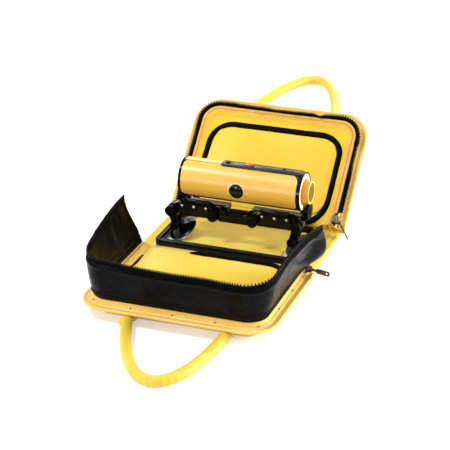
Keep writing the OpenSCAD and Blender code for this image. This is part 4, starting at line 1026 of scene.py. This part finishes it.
def lid_zip():
    """Tape with teeth along the lid's rim."""
    point = lid_zip_point
    section = ((-0.6, 1.6), (0.6, 1.3), (4, 0.8), (7.0, 0.65), (7.4, 0), (7.0, -0.65),
               (4, -0.8), (0.6, -1.3), (-0.6, -1.6))
    obj = dress(tape("lid_zip_tape", point, LID_ZIP_LENGTH, section), "lid", TAPE)
    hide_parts("lid_zip")
    teeth = []
    for s in spaced(LID_ZIP_LENGTH, TOOTH_PITCH):
        up = (point(s, 8, 0) - point(s, 4, 0)).normalized()
        out = (point(s, 6, 1) - point(s, 6, -1)).normalized()
        along = (point(s + 1, 6, 0) - point(s - 1, 6, 0)).normalized()
        flat = lid_zip_frame(s)[4]
        teeth.append(tooth(point(s, 5.4, 0), along, up, out, 2.3, 4.8 - 0.8 * flat,
                           3.2 - 1.0 * flat))
    dress(joined("lid_zip_teeth", teeth), "lid", TEETH)


# ---- handles
def front_place(p):
    """A point of the front handle, from its own frame."""
    return in_lower(HANDLE_SHIFT + p.x, LOWER_D - HANDLE_INSET + p.y, -HANDLE_DROP + p.z)


def rear_place(p):
    """A point of the rear handle, from its own frame, which is turned down."""
    c, s = cos(REAR_TURN), sin(REAR_TURN)
    return in_lid(HANDLE_SHIFT + p.x, LID_D - HANDLE_INSET + p.y * c + p.z * s,
                  -HANDLE_DROP - p.y * s + p.z * c)


def bezier(q, t):
    return (q[0] * (1 - t) ** 3 + q[1] * 3 * (1 - t) ** 2 * t
            + q[2] * 3 * (1 - t) * t * t + q[3] * t ** 3)


def handle_rings(line, travelled, seed):
    """Rings of a handle's tube: a sewn groove, soft lumps, and creases inside its bends."""
    count = len(line) - 1
    curvature = []
    for i in range(count + 1):
        a, b, c = line[max(i - 3, 0)], line[i], line[min(i + 3, count)]
        d1, d2 = b - a, c - b
        short = d1.length == 0 or d2.length == 0
        curvature.append(0 if short else d1.angle(d2) / (0.5 * (d1.length + d2.length)))

    def radius(share, a):
        i = round(share * count)
        s = travelled[i]
        inner = max(0.0, -cos(a))
        pleat = abs(sin(s / 3.4 + 1.3 * wave(s / 20, 0, 0, seed)))
        crease = curvature[i] * 32 * inner * pleat
        lumps = (0.16 * wave(s / 13, cos(a), sin(a), seed)
                 + 0.07 * wave(s / 4, cos(a) * 2, 0, seed + 1))
        groove = 0.55 * bell(18 * sin(a / 2), 0, 1)
        return HANDLE_D / 2 - min(crease, 1.1) + lumps - groove

    return tube_rings(line, radius, 28)


def handle(name, place, left, right, seed):
    """A padded tube with a sewn seam, on two stitched collars with tongues to the lugs."""
    def around(side, y, r, k, number):
        """A place on the circle round a handle's end at height y."""
        a = 2 * PI * k / number
        return place(Vector((side * HANDLE_HALF + r * cos(a), y, r * sin(a))))

    count = 230
    q = [Vector((-HANDLE_HALF, 10, 0)), Vector((-HANDLE_HALF + left[0], left[1], 0)),
         Vector((HANDLE_HALF - right[0], right[1], 0)), Vector((HANDLE_HALF, 10, 0))]
    line = [bezier(q, k / count) for k in range(count + 1)]
    travelled = [0.0]
    for i in range(1, count + 1):
        travelled.append(travelled[-1] + (line[i] - line[i - 1]).length)
    rings = handle_rings(line, travelled, seed)
    tube, tongues = [[[place(p) for p in ring] for ring in rings]], []
    seam, normals = [], []
    for ring, centre, s in zip(rings, line, travelled):
        if 24 <= s <= travelled[-1] - 24:
            seam.append(place(ring[1]))
            normals.append(seam[-1] - place(centre))
    sewn = stitches(seam, normals, 4.6, 3.0, 0.42)
    arc = [PI / 2 + PI * k / 12 for k in range(13)]
    tongue = [(TONGUE_R * cos(a), TONGUE_R * sin(a)) for a in arc]
    tongue += [(9.5, -TONGUE_R), (9.5, TONGUE_R)]
    for side in (-1, 1):
        tube.append([[around(side, y, r, k, 32) for k in range(32)] for y, r in COLLAR])
        loop = [around(side, COLLAR_SEAM, 9.7, k, 64) for k in range(65)]
        centre = place(Vector((side * HANDLE_HALF, COLLAR_SEAM, 0)))
        sewn += stitches(loop, [p - centre for p in loop], 3.3, 2.1, 0.4)
        tongues.append([[place(Vector((side * HANDLE_HALF + x, y * k, z * k)))
                         for y, z in tongue]
                        for x, k in ((-TONGUE_HALF, 0.93), (0.6 - TONGUE_HALF, 1.0),
                                     (TONGUE_HALF - 0.6, 1.0), (TONGUE_HALF, 0.93))])
    obj = dress(joined(f"{name}_cover", tube), name, HANDLE)
    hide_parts(name)
    dress(joined(f"{name}_stitches", sewn), name, YELLOW_THREAD)
    dress(joined(f"{name}_tongues", tongues), name, SKIN)


# ---- spine, folds and tray
def spine():
    """Padded cover of the spine, flat under the tray, puffed in front of it, with piping."""
    hw = high("spine_panel").x
    y0, y1 = low("spine_panel").y, high("spine_panel").y
    tray_x = TRAY_W / 2 + 2
    tray_y = ((y0 + y1) / 2 - TRAY_D / 2 - 2, (y0 + y1) / 2 + TRAY_D / 2 + 2)
    begin = tray_y[0] + 0.3
    lines = [y0 + 0.62 * i for i in range(21)] + [tray_y[0] - 0.1, begin]
    lines += [begin + (y1 - tray_y[0] - 0.3) * i / 60 for i in range(1, 61)]

    def cover(y, t):
        x = hw * t
        edge = min(hw - abs(x), y - y0, y1 - y)
        clear = max(abs(x) - tray_x, tray_y[0] - y, y - tray_y[1])
        puff = smooth(clear / 7) * (1.0 + 0.5 * wave(x / 20, y / 26, 0, 21))
        if y < tray_y[0] and abs(x) < tray_x:
            puff = (3.0 * smooth((tray_y[0] - y) / 0.6) * smooth((y - y0 + 1) / 6)
                    * smooth((x + 128) / 8) + 0.25 * wave(x / 20, 0, 0, 22))
        seam = 1.3 * bell(edge, 5.5, 1.1) if clear > 2 else 0
        z = RIM_Z - 0.15 - 2.2 * (1 - smooth(edge / 3.0)) + max(0, puff) - seam
        return Vector((x, y, min(z, RIM_Z - 0.05) if clear < 0 else z))

    obj = dress(sheet("spine_cover", lines, 110, cover, 4.0), "spine", LINING)
    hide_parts("spine_panel")
    piping = []
    for s in (-1, 1):
        edge = [Vector((s * (hw - 2.2), y0 + 3 + (y1 - y0 - 6) * k / 40, RIM_Z - 0.9))
                for k in range(41)]
        piping.append(tube_rings(edge, 0.9, 8))
    dress(joined("spine_piping", piping), "spine", OLIVE)


def fold_cloth(name, seed, before, behind):
    """Cloth that crosses a fold, with soft creases along it. Its two sides are laid by
    functions of x, the distance from the fold and the height."""
    reach = 8.5

    def crossing(side, t):
        x = (HALF_W - 13) * t
        crease = 0.9 * cos(side * PI * 1.5) + 0.5 * wave(x / 30, side * 2, 0, seed)
        place = before if side < 0 else behind
        return place(x, abs(side) * reach, 1.0 + crease * (1 - side * side))

    obj = sheet(name, [i / 11 - 1 for i in range(23)], 96, crossing, 0.7)
    obj.data.materials.append(LINING.mat)
    return obj


def folds():
    """Cloth over both folds: lower half to spine, and spine to lid."""
    front = fold_cloth("front_fold_cloth", 31, in_lower,
                       lambda x, d, h: Vector((x, FOLD_1 + d, RIM_Z + h)))
    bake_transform(front)
    rear = fold_cloth("rear_fold_cloth", 32,
                      lambda x, d, h: Vector((x, FOLD_2 - d, RIM_Z + h)), in_lid)
    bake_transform(rear)


def tray_pad():
    """Thin padded panel between the tray's bars, with a sewn edge, narrower by the feet."""
    lo, hi = low("tray_mat"), high("tray_mat")

    def cushion(y, t):
        before, behind = smooth((FEET_FROM - y) / 7), smooth((y - FEET_TO) / 7)
        left = hi.x + 12 * (before + behind)
        right = left + 6 * before
        x = -left + (left + right) * (1 + t) / 2
        edge = min(left + x, right - x, y - lo.y, hi.y - y)
        z = hi.z - 1.6 * (1 - smooth(edge / 3.5)) - 0.8 * bell(edge, 6, 1.0)
        z += 0.5 * smooth((edge - 8) / 14) + 0.25 * wave(x / 24, y / 24, 0, 41)
        return Vector((x, y, z))

    lines = [lo.y + (hi.y - lo.y) * i / 60 for i in range(61)]
    obj = dress(sheet("tray_pad", lines, 90, cushion, 1.2), "spine", PAD)
    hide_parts("tray_mat")


# Section of the tray's bar: (inset, height)
RAIL_SECTION = [(0.0, 0.0), (0.0, 8.6), (0.5, 10.4), (1.8, 11.6), (3.2, 11.5), (4.3, 10.3),
                (5.0, 9.8), (5.7, 10.3), (6.8, 11.5), (8.2, 11.6), (9.5, 10.4), (10.0, 8.6),
                (10.0, 0.0)]


def tray_rails():
    """The tray's black frame: a bar with two ridges along its top, lower by the right foot."""
    lo, hi = low("tray_frame"), high("tray_frame")
    rings = []
    for x, y, a in outline(hi.x, lo.y, hi.y, 12, 4.0):
        tall = 1 - 0.38 * smooth((x - 105) / 15) * smooth((y - lo.y - 3) / 12)
        rings.append([Vector((*beside(x, y, a, -inset), lo.z + h * tall))
                      for inset, h in RAIL_SECTION])
    obj = dress(joined("tray_rails", [rings], loop=True), "spine", GLOSS)
    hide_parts("tray_frame")


# ---- lens ring
def lens_ring():
    """Thin pale ring round the window; its section is (past the window, off the body)."""
    section = ((0.1, 0.2), (0.1, 0.95), (0.5, 1.25), (1.3, 1.25), (1.8, 0.95), (1.9, 0.2))
    lo, hi = low("window"), high("window")
    cx, r = (lo.x + hi.x) / 2, (hi.x - lo.x) / 2
    out = Vector((0, -cos(BODY_TILT), sin(BODY_TILT)))
    up = Vector((0, sin(BODY_TILT), cos(BODY_TILT)))
    sides = 72
    rings = []
    for k in range(sides):
        a = 2 * PI * k / sides
        ring = []
        for dr, dz in section:
            rise = (r + dr) * sin(a)
            depth = sqrt(max(0, (BODY_R + dz) ** 2 - rise ** 2))
            x = cx + (r + dr) * cos(a)
            ring.append(Vector((x, BODY_AXIS.y, BODY_AXIS.z)) + up * rise + out * depth)
        rings.append(ring)
    dress(joined("lens_ring", [rings], loop=True), "cleaner", PORT)


LOWER = ("lower", in_lower, LOWER_D, "lower_case")
LID = ("lid", in_lid, LID_D, "lid")
lining(*LOWER, 3.0, LEDGE)
lining(*LID, 4.5, LINING)
trim_ring(*LOWER, lower_drift)
trim_ring(*LID, lid_drift)
pad(*LOWER, seed=51, spread=3.6, v0=9.0, rise=3.4, cap=7.0)
pad(*LID, seed=52, spread=0.6, v0=TRIM_FOLD + TRIM_W - 0.6, rise=2.4, cap=6.0)
wall()
wall_zip()
flap_stitching()
lid_zip()
handle("front_handle", front_place, (82, 256), (4, 236), 61)
handle("rear_handle", rear_place, (53, 298), (44, 206), 62)
spine()
folds()
tray_pad()
tray_rails()
lens_ring()


# ---- stage, light and camera
def is_seen(nodes, links):
    """Share that is 1 for rays from the camera, mirrors and glass."""
    path = nodes.new("ShaderNodeLightPath")
    total = path.outputs["Is Camera Ray"]
    for extra in ("Is Glossy Ray", "Is Transmission Ray"):
        node = nodes.new("ShaderNodeMath")
        node.operation = "MAXIMUM"
        links.new(total, node.inputs[0])
        links.new(path.outputs[extra], node.inputs[1])
        total = node.outputs["Value"]
    return total


def floor():
    """Pale floor that glows a little where it is seen, so that it meets the backdrop."""
    bpy.ops.mesh.primitive_grid_add(x_subdivisions=4, y_subdivisions=4, size=30)
    obj = bpy.context.object
    obj.name = "studio_floor"
    m = Material("studio_floor", 0.9)
    m.shader.inputs["Base Color"].default_value = (0.86, 0.86, 0.86, 1)
    glow, both = m.add("Emission"), m.add("AddShader")
    m.link(m.math("MULTIPLY", is_seen(m.nodes, m.links), 0.42), glow.inputs["Strength"])
    m.link(m.shader.outputs["BSDF"], both.inputs[0])
    m.link(glow.outputs["Emission"], both.inputs[1])
    m.link(both.outputs["Shader"], m.nodes["Material Output"].inputs["Surface"])
    obj.data.materials.append(m.mat)


def world():
    """White backdrop where it is seen, and a dimmer light on the scene."""
    w = bpy.data.worlds.new("studio")
    bpy.context.scene.world = w
    w.use_nodes = True
    nodes, links = w.node_tree.nodes, w.node_tree.links
    back = nodes["Background"]
    back.inputs["Color"].default_value = (1, 1, 1, 1)
    mix = nodes.new("ShaderNodeMapRange")
    mix.inputs["To Min"].default_value = 0.6
    mix.inputs["To Max"].default_value = 1.0
    links.new(is_seen(nodes, links), mix.inputs["Value"])
    links.new(mix.outputs["Result"], back.inputs["Strength"])


def aimed(data, place, direction):
    """Object at a place that looks in a direction."""
    obj = bpy.data.objects.new(data.name, data)
    bpy.context.scene.collection.objects.link(obj)
    obj.location = place
    obj.rotation_euler = direction.to_track_quat("-Z", "Y").to_euler()
    return obj


def lamp(name, place, target, size, power):
    """Area light from a place to a target in metres; size in metres, power in watts."""
    data = bpy.data.lights.new(name, "AREA")
    data.shape = "RECTANGLE"
    data.size, data.size_y = size
    data.energy = power
    aimed(data, Vector(place), Vector(target) - Vector(place))


def camera():
    """Camera at the photograph's viewing angle."""
    yaw, pitch = radians(19.9), radians(23.9)
    target = Vector((-47.5, 270.5, 20.0))
    distance = 3032.6
    back = Vector((sin(yaw) * cos(pitch), -cos(yaw) * cos(pitch),
                   sin(pitch)))
    data = bpy.data.cameras.new("camera")
    data.lens = 132.82
    data.sensor_width = 36
    bpy.context.scene.camera = aimed(data, (target + back * distance) * MM, -back)


floor()
world()
lamp("key_light", (-1.1, -0.6, 2.2), (0, 0.2, 0.1), (0.45, 0.4), 29)
lamp("front_light", (-0.7, -2.2, 0.42), (0, 0.1, 0.1), (0.32, 0.45), 9)
lamp("side_light", (2.2, 0.9, 0.6), (0, 0.3, 0.1), (1.2, 1.0), 60)
lamp("rim_light", (-0.6, 2.4, 1.3), (0, 0.3, 0.1), (2.0, 0.8), 14)
camera()
bpy.context.scene.view_settings.view_transform = "Standard"
